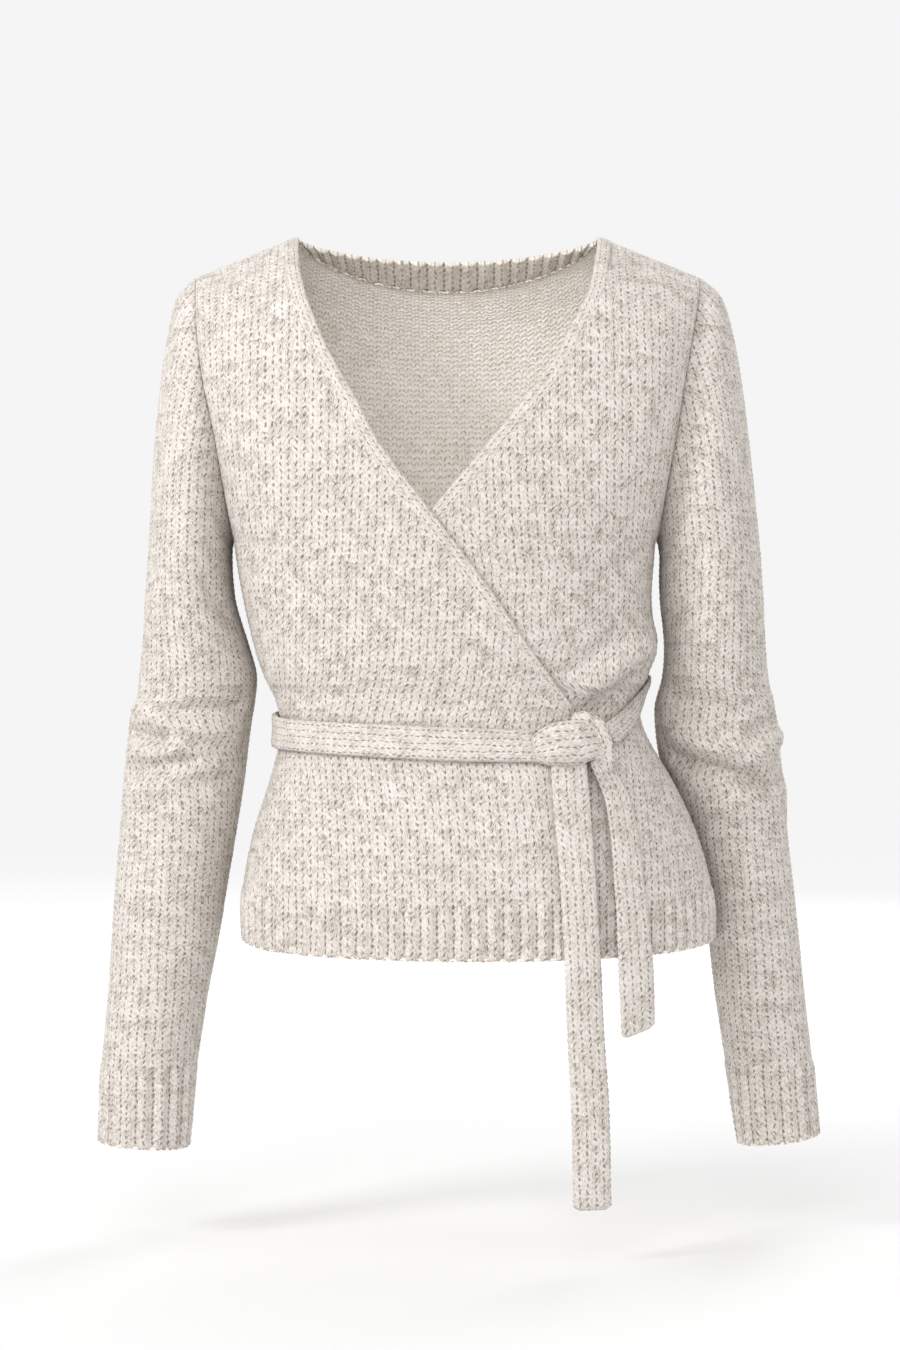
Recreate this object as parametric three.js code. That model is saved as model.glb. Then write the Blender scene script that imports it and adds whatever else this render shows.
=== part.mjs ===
// Wrap cardigan in a chunky marled knit, in the hollow form it takes when worn.
// Units are millimetres, +Z up, front towards -Y, the origin between the two shoulder points.
import * as THREE from "three";

// Driving dimensions
const WALL = 3.0;
const SEAM = 0.3;
const NECK_HALF = 111;
const SHOULDER_HALF = 186;
const SHOULDER_DROP = 30;
const ARMPIT_Z = -223;
const ARMHOLE_HALF_DEPTH = 52;
const SIDE_HEM_Z = -516;
const HEM_DIP = 9;
const RIB_BAND = 36;
const HEM_RIB_PITCH = 13;
const CUFF_RIBS = 18;
const NECK_RIBS = 26;
const RIB_RELIEF = 0.8;
const WRAP_LIFT = WALL + 1.8;
const SHOULDER_ROLL = 110;
const BELT_GAP = 1.4;
const BELT_THICK = 4.2;
const TAIL_THICK = 4.5;
const TAIL_GAP = 1.1;
const KNOT_GAP = 1.2;

// Torso sections from shoulder to hem: middle of the width, half width, front and back depth
const BODY = [
  { z: 10, mid: 0, half: 188, front: 100, back: 92 },
  { z: -30, mid: 0, half: 186, front: 102, back: 94 },
  { z: -100, mid: -3, half: 176, front: 105, back: 97 },
  { z: -150, mid: -2, half: 167, front: 108, back: 97 },
  { z: -200, mid: -2, half: 159, front: 109, back: 94 },
  { z: -260, mid: -1, half: 151, front: 104, back: 90 },
  { z: -305, mid: 5, half: 147, front: 99, back: 87 },
  { z: -325, mid: 6, half: 141, front: 95, back: 85 },
  { z: -342, mid: 7, half: 134, front: 91, back: 84 },
  { z: -365, mid: 11, half: 134, front: 90, back: 84 },
  { z: -400, mid: 17, half: 148, front: 97, back: 92 },
  { z: -442, mid: 20, half: 164, front: 106, back: 102 },
  { z: -490, mid: 22, half: 174, front: 112, back: 108 },
  { z: -530, mid: 23, half: 173, front: 113, back: 109 },
];

// Free edge of the front that lies on top, from shoulder to hem
const OVER_EDGE = [
  { z: 0, x: -NECK_HALF },
  { z: -33, x: -107 },
  { z: -63, x: -98 },
  { z: -91, x: -86 },
  { z: -127, x: -66 },
  { z: -162, x: -47 },
  { z: -208, x: -12 },
  { z: -262, x: 29 },
  { z: -301, x: 55 },
  { z: -353, x: 89 },
  { z: -400, x: 92 },
  { z: -530, x: 95 },
];

// Free edge of the front that lies underneath; below -208 it is hidden
const UNDER_EDGE = [
  { z: 0, x: NECK_HALF },
  { z: -24, x: 107 },
  { z: -46, x: 102 },
  { z: -79, x: 87 },
  { z: -107, x: 71 },
  { z: -160, x: 28 },
  { z: -208, x: -12 },
  { z: -262, x: -48 },
  { z: -323, x: -82 },
  { z: -353, x: -90 },
  { z: -530, x: -90 },
];

// Sleeve rings from the armhole to the cuff: outer and inner point, half depth, how far back
const LEFT_SLEEVE = [
  { outX: -200, outZ: -45, inX: -158.5, inZ: -225, depth: 56, back: 0 },
  { outX: -207, outZ: -75, inX: -159.5, inZ: -228, depth: 58, back: 0 },
  { outX: -212, outZ: -110, inX: -160, inZ: -231, depth: 60, back: 0 },
  { outX: -216, outZ: -150, inX: -160, inZ: -236, depth: 60, back: 0 },
  { outX: -219, outZ: -195, inX: -160, inZ: -243, depth: 59, back: 1 },
  { outX: -221.5, outZ: -235, inX: -159.5, inZ: -254, depth: 57, back: 3 },
  { outX: -224, outZ: -270, inX: -157, inZ: -272, depth: 55, back: 5 },
  { outX: -226, outZ: -300, inX: -148.5, inZ: -300, depth: 52, back: 7 },
  { outX: -228.5, outZ: -322, inX: -142.5, inZ: -322, depth: 49, back: 9 },
  { outX: -231, outZ: -342, inX: -143.5, inZ: -342, depth: 47, back: 11 },
  { outX: -236.5, outZ: -358, inX: -146, inZ: -356, depth: 47, back: 12 },
  { outX: -238.5, outZ: -381, inX: -149, inZ: -378, depth: 46, back: 14 },
  { outX: -241, outZ: -403, inX: -152, inZ: -403, depth: 45, back: 15 },
  { outX: -243.5, outZ: -438, inX: -157.5, inZ: -438, depth: 44, back: 15 },
  { outX: -247, outZ: -480, inX: -164.5, inZ: -480, depth: 42, back: 14 },
  { outX: -249.5, outZ: -517, inX: -170.5, inZ: -517, depth: 40, back: 13 },
  { outX: -252, outZ: -559, inX: -178.5, inZ: -559, depth: 38, back: 11 },
  { outX: -256, outZ: -605, inX: -185.5, inZ: -605, depth: 36, back: 8 },
];
const LEFT_CUFF = [
  { outX: -256.8, outZ: -616, inX: -187, inZ: -616, depth: 34.5, back: 7 },
  { outX: -257.6, outZ: -642, inX: -189.5, inZ: -643, depth: 33.5, back: 6 },
  { outX: -258.3, outZ: -668, inX: -192.4, inZ: -672, depth: 33, back: 5 },
];
const RIGHT_SLEEVE = [
  { outX: 202, outZ: -45, inX: 155, inZ: -225, depth: 56, back: 0 },
  { outX: 211, outZ: -75, inX: 156, inZ: -228, depth: 58, back: 0 },
  { outX: 217, outZ: -110, inX: 156.5, inZ: -231, depth: 60, back: 0 },
  { outX: 222, outZ: -150, inX: 157, inZ: -236, depth: 60, back: 0 },
  { outX: 227, outZ: -195, inX: 157, inZ: -243, depth: 59, back: 2 },
  { outX: 231, outZ: -235, inX: 157, inZ: -254, depth: 57, back: 4 },
  { outX: 233.5, outZ: -270, inX: 158, inZ: -272, depth: 55, back: 7 },
  { outX: 235.5, outZ: -303, inX: 161, inZ: -300, depth: 52, back: 11 },
  { outX: 238.5, outZ: -328, inX: 160, inZ: -324, depth: 49, back: 17 },
  { outX: 244, outZ: -347, inX: 155, inZ: -345, depth: 47, back: 23 },
  { outX: 247, outZ: -364, inX: 155.5, inZ: -364, depth: 46, back: 28 },
  { outX: 249, outZ: -386, inX: 159, inZ: -386, depth: 46, back: 34 },
  { outX: 254, outZ: -408, inX: 166.5, inZ: -408, depth: 45, back: 41 },
  { outX: 255.5, outZ: -440, inX: 178, inZ: -440, depth: 44, back: 50 },
  { outX: 260, outZ: -480, inX: 190, inZ: -480, depth: 42, back: 52 },
  { outX: 264, outZ: -520, inX: 196.5, inZ: -520, depth: 40, back: 48 },
  { outX: 267, outZ: -560, inX: 200.5, inZ: -560, depth: 38, back: 38 },
  { outX: 271.5, outZ: -605, inX: 207, inZ: -605, depth: 36, back: 31 },
];
const RIGHT_CUFF = [
  { outX: 273, outZ: -618, inX: 209, inZ: -618, depth: 34.5, back: 29 },
  { outX: 274.8, outZ: -642, inX: 212.8, inZ: -645, depth: 33.5, back: 26 },
  { outX: 276.5, outZ: -665, inX: 216.5, inZ: -672, depth: 33, back: 23 },
];

// Belt round the waist, from the knot past the right side and the back to the left of the knot
const BELT = [
  { face: -1, angle: 45.5, z: -368, half: 9 },
  { face: -1, angle: 62, z: -352, half: 8 },
  { face: -1, angle: 78, z: -335, half: 8 },
  { face: 1, angle: 86, z: -326, half: 9 },
  { face: 1, angle: 60, z: -334, half: 11 },
  { face: 1, angle: 20, z: -348, half: 12.5 },
  { face: 1, angle: -30, z: -357, half: 12.5 },
  { face: 1, angle: -86, z: -363, half: 12.5 },
  { face: -1, angle: -78, z: -365, half: 12.5 },
  { face: -1, angle: -30, z: -370, half: 12.5 },
  { face: -1, angle: 0, z: -374, half: 12 },
  { face: -1, angle: 16.3, z: -376, half: 11 },
];
const KNOT = { x: 86, z: -372, halfX: 25, halfZ: 15.5, halfY: 11 };

// Hanging ends of the belt: middle of the width and half width down their length
const LONG_TAIL = [
  { z: -386.8, x: 86, half: 13 },
  { z: -468, x: 92, half: 13 },
  { z: -521, x: 95, half: 13 },
  { z: -570, x: 97, half: 13 },
  { z: -630, x: 100.5, half: 13.5 },
  { z: -701, x: 102, half: 13.5 },
];
const SHORT_TAIL = [
  { z: -384, x: 108, half: 7.5 },
  { z: -415, x: 122, half: 9.5 },
  { z: -478, x: 129.5, half: 11 },
  { z: -529, x: 133.5, half: 12.5 },
  { z: -575, x: 135.5, half: 12 },
];

const lerp = (a, b, t) => a + (b - a) * t;
const clamp = (t) => Math.min(1, Math.max(0, t));
const smooth = (t) => clamp(t) * clamp(t) * (3 - 2 * clamp(t));
const rad = (degrees) => (degrees * Math.PI) / 180;

// A named column of a table at height z, smooth through the rows
function column(table, z, name) {
  const last = table.length - 1;
  let k = 0;
  while (k < last - 1 && table[k + 1].z > z) k += 1;
  const a = table[k];
  const b = table[k + 1];
  const before = table[Math.max(0, k - 1)];
  const after = table[Math.min(last, k + 2)];
  const t = clamp((z - a.z) / (b.z - a.z));
  const span = b.z - a.z;
  const slopeA = k === 0 ? (b[name] - a[name]) / span : (b[name] - before[name]) / (b.z - before.z);
  const slopeB = k + 1 === last ? (b[name] - a[name]) / span : (after[name] - a[name]) / (after.z - a.z);
  const t2 = t * t;
  const t3 = t2 * t;
  const ends = (2 * t3 - 3 * t2 + 1) * a[name] + (3 * t2 - 2 * t3) * b[name];
  return ends + (t3 - 2 * t2 + t) * span * slopeA + (t3 - t2) * span * slopeB;
}

// Height of the shoulder seam at distance x from the middle
function shoulderZ(x) {
  const out = clamp((Math.abs(x) - NECK_HALF) / (SHOULDER_HALF - NECK_HALF));
  return -SHOULDER_DROP * out;
}

// Back neck: how far the band's seam and its top hang below the shoulder points at distance x
const neckSeamZ = (x) => -31 * Math.pow(clamp(1 - Math.pow(Math.abs(x) / NECK_HALF, 2)), 0.8);
const neckTopZ = (x) => -13 * Math.pow(clamp(1 - Math.pow(Math.abs(x) / NECK_HALF, 2)), 0.8);

// How far the armhole edge stands off the side plane at height z
function armholeY(z) {
  const middle = (ARMPIT_Z - SHOULDER_DROP) / 2;
  const reach = (-SHOULDER_DROP - ARMPIT_Z) / 2;
  const t = (z - middle) / reach;
  return Math.abs(t) < 1 ? ARMHOLE_HALF_DEPTH * Math.sqrt(1 - t * t) : 0;
}

// The hollow beside the armhole, faded out softly below it
function armholeSoft(z) {
  const middle = (ARMPIT_Z - SHOULDER_DROP) / 2;
  return z > middle ? armholeY(z) : ARMHOLE_HALF_DEPTH * (1 - smooth((middle - z) / 170));
}

// Soft vertical folds of the skirt below the belt
function skirtFold(angle, z) {
  const fade = smooth((-385 - z) / 60);
  return 1.6 * fade * Math.cos(rad(angle * 7 + 20)) * Math.cos(rad(angle * 0.9));
}

// Base surface of the torso: face -1 is the front, 1 the back; angle -90 is the left side seam
function torsoPoint(face, angle, z) {
  const s = Math.sin(rad(angle));
  const c = Math.max(0, Math.cos(rad(angle)));
  const q = Math.sign(s) * Math.pow(Math.abs(s), 0.84);
  const x = column(BODY, z, "mid") + column(BODY, z, "half") * q;
  const below = clamp((shoulderZ(x) - z) / SHOULDER_ROLL);
  const roll = Math.sqrt(Math.max(0, 1 - (1 - below) * (1 - below)));
  const edge = armholeY(z);
  const full = Math.max(edge, column(BODY, z, face < 0 ? "front" : "back") * roll);
  const g = 1 - Math.pow(c, 0.91);
  const near = Math.pow(g, 6);
  const hollow = edge * near + armholeSoft(z) * (g - near);
  const depth = full * (1 - g) + hollow + skirtFold(angle, z) * c;
  return new THREE.Vector3(x, face * (depth + SEAM / 2), z);
}

// Angle at which the torso section reaches x
function angleAt(x, z) {
  const q = (x - column(BODY, z, "mid")) / column(BODY, z, "half");
  const s = Math.sign(q) * Math.pow(Math.min(1, Math.abs(q)), 1 / 0.84);
  return (Math.asin(s) * 180) / Math.PI;
}

// Outward direction of a surface f(u, v) at a point, from small steps either way
function normalOf(f, u, v, uLow, uHigh, vLow, vHigh) {
  const du = (uHigh - uLow) * 0.004;
  const dv = (vHigh - vLow) * 0.004;
  const a = f(Math.min(uHigh, u + du), v).sub(f(Math.max(uLow, u - du), v));
  const b = f(u, Math.min(vHigh, v + dv)).sub(f(u, Math.max(vLow, v - dv)));
  return a.cross(b).normalize();
}

// Two rows of vertex numbers joined by a strip of triangles, whatever their counts
function zip(faces, a, b) {
  let i = 0;
  let j = 0;
  while (i < a.length - 1 || j < b.length - 1) {
    const nextA = (i + 1) / (a.length - 1);
    const nextB = (j + 1) / (b.length - 1);
    if (j === b.length - 1 || (i < a.length - 1 && nextA <= nextB)) {
      faces.push(a[i], b[j], a[i + 1]);
      i += 1;
    } else {
      faces.push(a[i], b[j], b[j + 1]);
      j += 1;
    }
  }
}

// A closed wall between outer and inner rows of points; closed rows run round a tube
function wallGeometry(outer, inner, closed) {
  const points = [];
  const number = (rows) => rows.map((row) => {
    const ids = row.map((p) => points.push(p.x, p.y, p.z) / 3 - 1);
    return closed ? [...ids, ids[0]] : ids;
  });
  const out = number(outer);
  const inn = number(inner);
  const faces = [];
  const last = out.length - 1;
  for (let r = 0; r < last; r += 1) {
    zip(faces, out[r], out[r + 1]);
    zip(faces, inn[r + 1], inn[r]);
    if (!closed) {
      const oEnd = [out[r].at(-1), out[r + 1].at(-1)];
      const iEnd = [inn[r].at(-1), inn[r + 1].at(-1)];
      faces.push(out[r][0], inn[r][0], inn[r + 1][0], out[r][0], inn[r + 1][0], out[r + 1][0]);
      faces.push(oEnd[0], oEnd[1], iEnd[1], oEnd[0], iEnd[1], iEnd[0]);
    }
  }
  zip(faces, inn[0], out[0]);
  zip(faces, out[last], inn[last]);
  return closedGeometry(points, faces);
}

// A geometry from flat lists, its faces turned to look out
function closedGeometry(points, faces) {
  let volume = 0;
  const p = (k) => new THREE.Vector3(points[3 * k], points[3 * k + 1], points[3 * k + 2]);
  for (let k = 0; k < faces.length; k += 3) {
    volume += p(faces[k]).dot(p(faces[k + 1]).cross(p(faces[k + 2])));
  }
  if (volume < 0) {
    for (let k = 0; k < faces.length; k += 3) {
      [faces[k + 1], faces[k + 2]] = [faces[k + 2], faces[k + 1]];
    }
  }
  const geometry = new THREE.BufferGeometry();
  geometry.setAttribute("position", new THREE.Float32BufferAttribute(points, 3));
  geometry.setIndex(faces);
  geometry.computeVertexNormals();
  return geometry;
}

const group = new THREE.Group();

// Adds one named mesh with the yarn's colour
function add(name, geometry, color) {
  const material = new THREE.MeshStandardMaterial({ color, roughness: 0.95, metalness: 0 });
  const mesh = new THREE.Mesh(geometry, material);
  mesh.name = name;
  group.add(mesh);
}

// Heights of the panel rows at the side: armhole rows by angle, then down to the hem
function sideRows() {
  const rows = [];
  const middle = (ARMPIT_Z - SHOULDER_DROP) / 2;
  const reach = (-SHOULDER_DROP - ARMPIT_Z) / 2;
  for (let k = 0; k <= 10; k += 1) rows.push(middle + reach * Math.cos(rad(18 * k)));
  for (const z of [-245, -268, -288, -305, -320, -333, -346, -360, -375, -391, -410, -433, -458]) rows.push(z);
  return rows;
}

// Height of a panel row: level with the neck at the shoulder, dipped at the front hem
function rowZ(panel, angle, sideZ) {
  const fade = 1 - clamp((-SHOULDER_DROP - sideZ) / 170);
  let z = sideZ;
  for (let pass = 0; pass < 3; pass += 1) {
    const x = torsoPoint(panel.face, angle, z).x;
    z = sideZ + (SHOULDER_DROP + shoulderZ(x)) * fade;
    if (panel.face > 0) z += neckSeamZ(x) * (1 - clamp((-SHOULDER_DROP - sideZ) / 120));
    else z -= HEM_DIP * smooth((-400 - sideZ) / 116) * Math.cos(rad(angle));
  }
  return z;
}

// A torso panel between its two edges; edge functions give the angle at height z
function panelPoint(panel, u, sideZ, off) {
  const surface = (uu, zz) => {
    const level = rowZ(panel, 0, zz);
    const angle = lerp(panel.from(level), panel.to(level), uu);
    return torsoPoint(panel.face, angle, rowZ(panel, angle, zz));
  };
  const normal = normalOf(surface, u, sideZ, 0, 1, SIDE_HEM_Z, -SHOULDER_DROP);
  if (normal.y * panel.face < 0) normal.negate();
  const point = surface(u, sideZ).addScaledVector(normal, off + panel.lift(u, sideZ));
  point.y = panel.face * Math.max(point.y * panel.face, SEAM / 2);
  return point;
}

// All rows of a panel, its ribs raised in the outer points of the hem band
function panelRows(panel, depth) {
  const rows = [];
  const row = (sideZ, count, ribbed) => {
    const points = [];
    for (let k = 0; k <= count; k += 1) {
      const relief = ribbed && depth === 0 ? RIB_RELIEF * (k % 2 === 0 ? 1 : -1) : 0;
      points.push(panelPoint(panel, k / count, sideZ, relief - depth));
    }
    rows.push(points);
  };
  for (const z of sideRows()) row(z, panel.columns, false);
  const ribTop = SIDE_HEM_Z + RIB_BAND;
  const ribs = depth === 0 ? panel.ribs * 2 : panel.columns;
  row(ribTop + 4, panel.columns, false);
  row(ribTop, ribs, depth === 0);
  row((ribTop + SIDE_HEM_Z) / 2, ribs, depth === 0);
  row(SIDE_HEM_Z, ribs, depth === 0);
  return rows;
}

function panelGeometry(panel) {
  return wallGeometry(panelRows(panel, 0), panelRows(panel, WALL), false);
}

const overLift = (angle, z) => WRAP_LIFT * smooth((angle + 88) / 34) * smooth((-110 - z) / 60);

const rightFront = {
  face: -1,
  columns: 17,
  ribs: 23,
  from: () => -90,
  to: (z) => angleAt(column(OVER_EDGE, z, "x"), z),
  lift: (u, z) => overLift(lerp(-90, rightFront.to(z), u), z),
};

const leftFront = {
  face: -1,
  columns: 16,
  ribs: 22,
  from: (z) => angleAt(column(UNDER_EDGE, z, "x"), z),
  to: () => 90,
  lift: () => 0,
};

const back = {
  face: 1,
  columns: 22,
  ribs: 34,
  from: () => -90,
  to: () => 90,
  lift: () => 0,
};

// A point of the back's top edge at distance x, on the straight runs between its columns
function backTop(x, depth) {
  const edge = [];
  for (let k = 0; k <= back.columns; k += 1) {
    edge.push(panelPoint(back, k / back.columns, -SHOULDER_DROP, -depth));
  }
  let k = 0;
  while (k < edge.length - 2 && edge[k + 1].x < x) k += 1;
  return edge[k].clone().lerp(edge[k + 1], (x - edge[k].x) / (edge[k + 1].x - edge[k].x));
}

// The ribbed band along the back neck, its ribs towards the inside, where they show
function neckBandRows(depth) {
  const rows = [];
  const end = NECK_HALF - 5;
  for (const t of [0, 0.5, 1]) {
    const points = [];
    for (let k = 0; k <= NECK_RIBS; k += 1) {
      const x = lerp(-end, end, k / NECK_RIBS);
      const seam = backTop(x, 0);
      const top = torsoPoint(1, angleAt(x, neckTopZ(x)), neckTopZ(x));
      const reach = Math.max(4, Math.hypot(top.y - seam.y, top.z - seam.z));
      const up = new THREE.Vector3(0, top.y - seam.y, top.z - seam.z).normalize();
      const out = new THREE.Vector3(0, up.z, -up.y);
      const relief = depth === 0 ? 0 : RIB_RELIEF * (k % 2 === 0 ? 0.6 : -0.6);
      const start = backTop(x, depth).addScaledVector(up, 0.5);
      points.push(start.addScaledVector(up, reach * t).addScaledVector(out, relief));
    }
    rows.push(points);
  }
  return rows;
}

// A sleeve ring: angle 0 is its outer point, 90 the front, 180 the armpit side
function ringPoint(ring, angle, grow) {
  const c = Math.cos(rad(angle));
  const s = Math.sin(rad(angle));
  const midX = (ring.outX + ring.inX) / 2;
  const midZ = (ring.outZ + ring.inZ) / 2;
  const dx = (ring.outX - ring.inX) / 2;
  const dz = (ring.outZ - ring.inZ) / 2;
  const half = Math.hypot(dx, dz);
  const along = (half + grow) / half;
  const y = ring.back - (ring.depth + grow) * s;
  return new THREE.Vector3(midX + dx * along * c, y, midZ + dz * along * c);
}

// First sleeve ring: the armhole edge of the two panels moved out by the seam gap, then inwards
function armholeRing(side, depth) {
  const points = [];
  const middle = (ARMPIT_Z - SHOULDER_DROP) / 2;
  const reach = (-SHOULDER_DROP - ARMPIT_Z) / 2;
  for (let k = 0; k < 20; k += 1) {
    const c = Math.cos(rad(18 * k));
    const s = Math.sin(rad(18 * k));
    const edge = torsoPoint(-1, side * 90, middle + reach * c);
    const y = -(ARMHOLE_HALF_DEPTH - depth) * s;
    points.push(new THREE.Vector3(edge.x + side * (SEAM + 0.1), y, middle + (reach - depth) * c));
  }
  return points;
}

function sleeveRows(side, rings, cuff, depth) {
  const rows = [armholeRing(side, depth)];
  for (const ring of rings) {
    const points = [];
    for (let k = 0; k < 20; k += 1) points.push(ringPoint(ring, 18 * k, -depth));
    rows.push(points);
  }
  for (const ring of cuff) {
    const points = [];
    const count = depth === 0 ? 2 * CUFF_RIBS : 20;
    for (let k = 0; k < count; k += 1) {
      const relief = depth === 0 ? RIB_RELIEF * (k % 2 === 0 ? 1 : -1) : 0;
      points.push(ringPoint(ring, (360 * k) / count, relief - depth));
    }
    rows.push(points);
  }
  return rows;
}

function sleeveGeometry(side, rings, cuff) {
  return wallGeometry(sleeveRows(side, rings, cuff, 0), sleeveRows(side, rings, cuff, WALL), true);
}

// Distance from the base surface to the outside of what covers it at the front
function coverLift(angle, z) {
  const edge = rightFront.to(z);
  return overLift(angle, z) * (1 - smooth((angle - edge - 3) / 14));
}

// One belt station: points round its section, standing off the torso
function beltSection(face, angle, z, half) {
  const section = [];
  const at = (dz, off) => {
    const f = (aa, zz) => torsoPoint(face, aa, zz);
    const n = normalOf(f, angle, z + dz, -90, 90, -530, 10);
    if (n.y * face < 0) n.negate();
    const cover = face < 0 ? coverLift(angle, z + dz) : 0;
    return f(angle, z + dz).addScaledVector(n, cover + off);
  };
  for (const dz of [half, 0, -half]) section.push(at(dz, BELT_GAP));
  for (const dz of [-half + 1, -half / 2, half / 2, half - 1]) section.push(at(dz, BELT_GAP + BELT_THICK));
  return section;
}

// Belt stations at even steps between the rows of its table
function beltGeometry() {
  const travel = (s) => (s.face < 0 ? (s.angle >= 45 ? s.angle - 45 : 315 + s.angle) : 135 - s.angle);
  const rows = BELT.map((s) => ({ ...s, at: travel(s) }));
  const stations = [];
  const first = rows[0].at;
  const last = rows.at(-1).at;
  const count = 44;
  for (let k = 0; k <= count; k += 1) {
    const at = lerp(first, last, k / count);
    let r = 0;
    while (r < rows.length - 2 && rows[r + 1].at < at) r += 1;
    const t = smooth((at - rows[r].at) / (rows[r + 1].at - rows[r].at));
    const z = lerp(rows[r].z, rows[r + 1].z, t);
    const half = lerp(rows[r].half, rows[r + 1].half, t);
    const face = at <= 45 || at > 225 ? -1 : 1;
    const angle = face > 0 ? 135 - at : at <= 45 ? at + 45 : at - 315;
    stations.push(beltSection(face, angle, z, half));
  }
  return tubeGeometry(stations);
}

// A solid rod through a list of closed sections, flat at both ends
function tubeGeometry(sections) {
  const points = sections.flat().flatMap((p) => [p.x, p.y, p.z]);
  const n = sections[0].length;
  const faces = [];
  for (let s = 0; s < sections.length - 1; s += 1) {
    for (let k = 0; k < n; k += 1) {
      const a = s * n + k;
      const b = s * n + ((k + 1) % n);
      faces.push(a, a + n, b, b, a + n, b + n);
    }
  }
  const end = (sections.length - 1) * n;
  for (let k = 1; k < n - 1; k += 1) {
    faces.push(0, k, k + 1);
    faces.push(end, end + k + 1, end + k);
  }
  return closedGeometry(points, faces);
}

// Front of the garment at x and z, the top layer's outer face
function frontY(x, z) {
  const zz = Math.max(z, SIDE_HEM_Z - HEM_DIP);
  const angle = angleAt(x, zz);
  return torsoPoint(-1, angle, zz).y - coverLift(angle, zz) - RIB_RELIEF * smooth((-460 - zz) / 20);
}

// A hanging belt end: it lies on the front and drops straight below the hem
function tailGeometry(table, slant) {
  const outer = [];
  const inner = [];
  const top = table[0].z;
  const bottom = table.at(-1).z;
  const steps = Math.round((top - bottom) / 17);
  const foremost = [0, 0, 0, 0, 0];
  for (let k = 0; k <= steps; k += 1) {
    const z = lerp(top, bottom, k / steps);
    const x = column(table, z, "x");
    const half = column(table, z, "half");
    const o = [];
    const i = [];
    for (let c = 0; c < 5; c += 1) {
      const across = (c - 2) / 2;
      const px = x + half * across;
      foremost[c] = Math.min(foremost[c], frontY(px, z) - TAIL_GAP);
      const pz = z + (k === steps ? slant * across : 0);
      i.push(new THREE.Vector3(px, foremost[c], pz));
      const taper = Math.abs(across) === 1 ? 0.55 : 1;
      o.push(new THREE.Vector3(px, foremost[c] - TAIL_THICK * taper, pz));
    }
    outer.push(o);
    inner.push(i);
  }
  return wallGeometry(outer, inner, false);
}

// The knot: a rounded lump just in front of the cloth
function knotGeometry() {
  const power = (v, e) => Math.sign(v) * Math.pow(Math.abs(v), e);
  const geometry = new THREE.SphereGeometry(1, 16, 10);
  const source = geometry.getAttribute("position");
  const seen = new Map();
  const points = [];
  const remap = [];
  for (let k = 0; k < source.count; k += 1) {
    const v = [source.getX(k), source.getY(k), source.getZ(k)].map((n) => Math.round(n * 1e5) / 1e5);
    const key = v.map((n) => n + 0).join();
    if (!seen.has(key)) {
      seen.set(key, points.length / 3);
      const [a, b, c] = v.map((n) => power(n, 0.8));
      const x = KNOT.x + KNOT.halfX * a;
      const z = KNOT.z + KNOT.halfZ * b - 0.06 * KNOT.halfX * a;
      points.push(x, frontY(x, z) - KNOT_GAP - KNOT.halfY * (1 - c), z);
    }
    remap.push(seen.get(key));
  }
  const faces = [];
  const index = geometry.getIndex();
  for (let k = 0; k < index.count; k += 3) {
    const t = [remap[index.getX(k)], remap[index.getX(k + 1)], remap[index.getX(k + 2)]];
    if (new Set(t).size === 3) faces.push(...t);
  }
  return closedGeometry(points, faces);
}

add("right_front", panelGeometry(rightFront), 0xe9e1d8);
add("left_front", panelGeometry(leftFront), 0xdfd5ca);
add("back", panelGeometry(back), 0xd6cabd);
add("back_neck_band", wallGeometry(neckBandRows(0), neckBandRows(WALL), false), 0xcfc3b4);
add("right_sleeve", sleeveGeometry(-1, LEFT_SLEEVE, LEFT_CUFF), 0xe6ddd3);
add("left_sleeve", sleeveGeometry(1, RIGHT_SLEEVE, RIGHT_CUFF), 0xe6ddd3);
add("belt_band", beltGeometry(), 0xece5dc);
add("belt_knot", knotGeometry(), 0xefe8e0);
add("belt_tail_long", tailGeometry(LONG_TAIL, 0), 0xece5dc);
add("belt_tail_short", tailGeometry(SHORT_TAIL, 4), 0xece5dc);

export default group;
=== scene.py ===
# %% [markdown]
# # A chunky knit wrap cardigan
#
# A wrap cardigan is six knitted pieces: two fronts that cross, a back, two sleeves and a ribbed
# neck band. A tie belt goes round the waist. This lesson rebuilds it stitch by stitch.
# The CAD frame gives the true shape and size of every piece. Here each plain wall is
# replaced by a thin shell that follows the same surface and carries real knitted relief.
# All lengths below are in millimetres and are turned to metres only when a mesh is made.

# %% Load the frame
import bpy
import math
import numpy as np
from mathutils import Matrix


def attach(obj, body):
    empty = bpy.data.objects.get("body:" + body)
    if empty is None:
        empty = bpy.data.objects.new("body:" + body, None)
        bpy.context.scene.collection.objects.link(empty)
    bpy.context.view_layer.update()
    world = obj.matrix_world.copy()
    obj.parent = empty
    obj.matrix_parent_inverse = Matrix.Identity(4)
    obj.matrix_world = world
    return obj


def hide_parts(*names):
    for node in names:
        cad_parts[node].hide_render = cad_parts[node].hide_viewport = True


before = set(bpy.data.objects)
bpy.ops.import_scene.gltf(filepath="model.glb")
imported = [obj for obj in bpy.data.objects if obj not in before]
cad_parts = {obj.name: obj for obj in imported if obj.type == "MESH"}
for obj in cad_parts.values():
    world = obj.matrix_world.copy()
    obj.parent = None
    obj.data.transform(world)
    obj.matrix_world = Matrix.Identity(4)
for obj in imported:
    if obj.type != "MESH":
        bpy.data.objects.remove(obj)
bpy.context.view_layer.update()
MM = 0.001

# %% [markdown]
# ## The shape tables
#
# A garment's shape can be told by a few sections, as a pattern cutter measures it: at each
# height, the middle of the width, the half width and the depth in front and behind. They are
# the same sections as the part's solids, so the knitted shells lie where the solids are.

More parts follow.
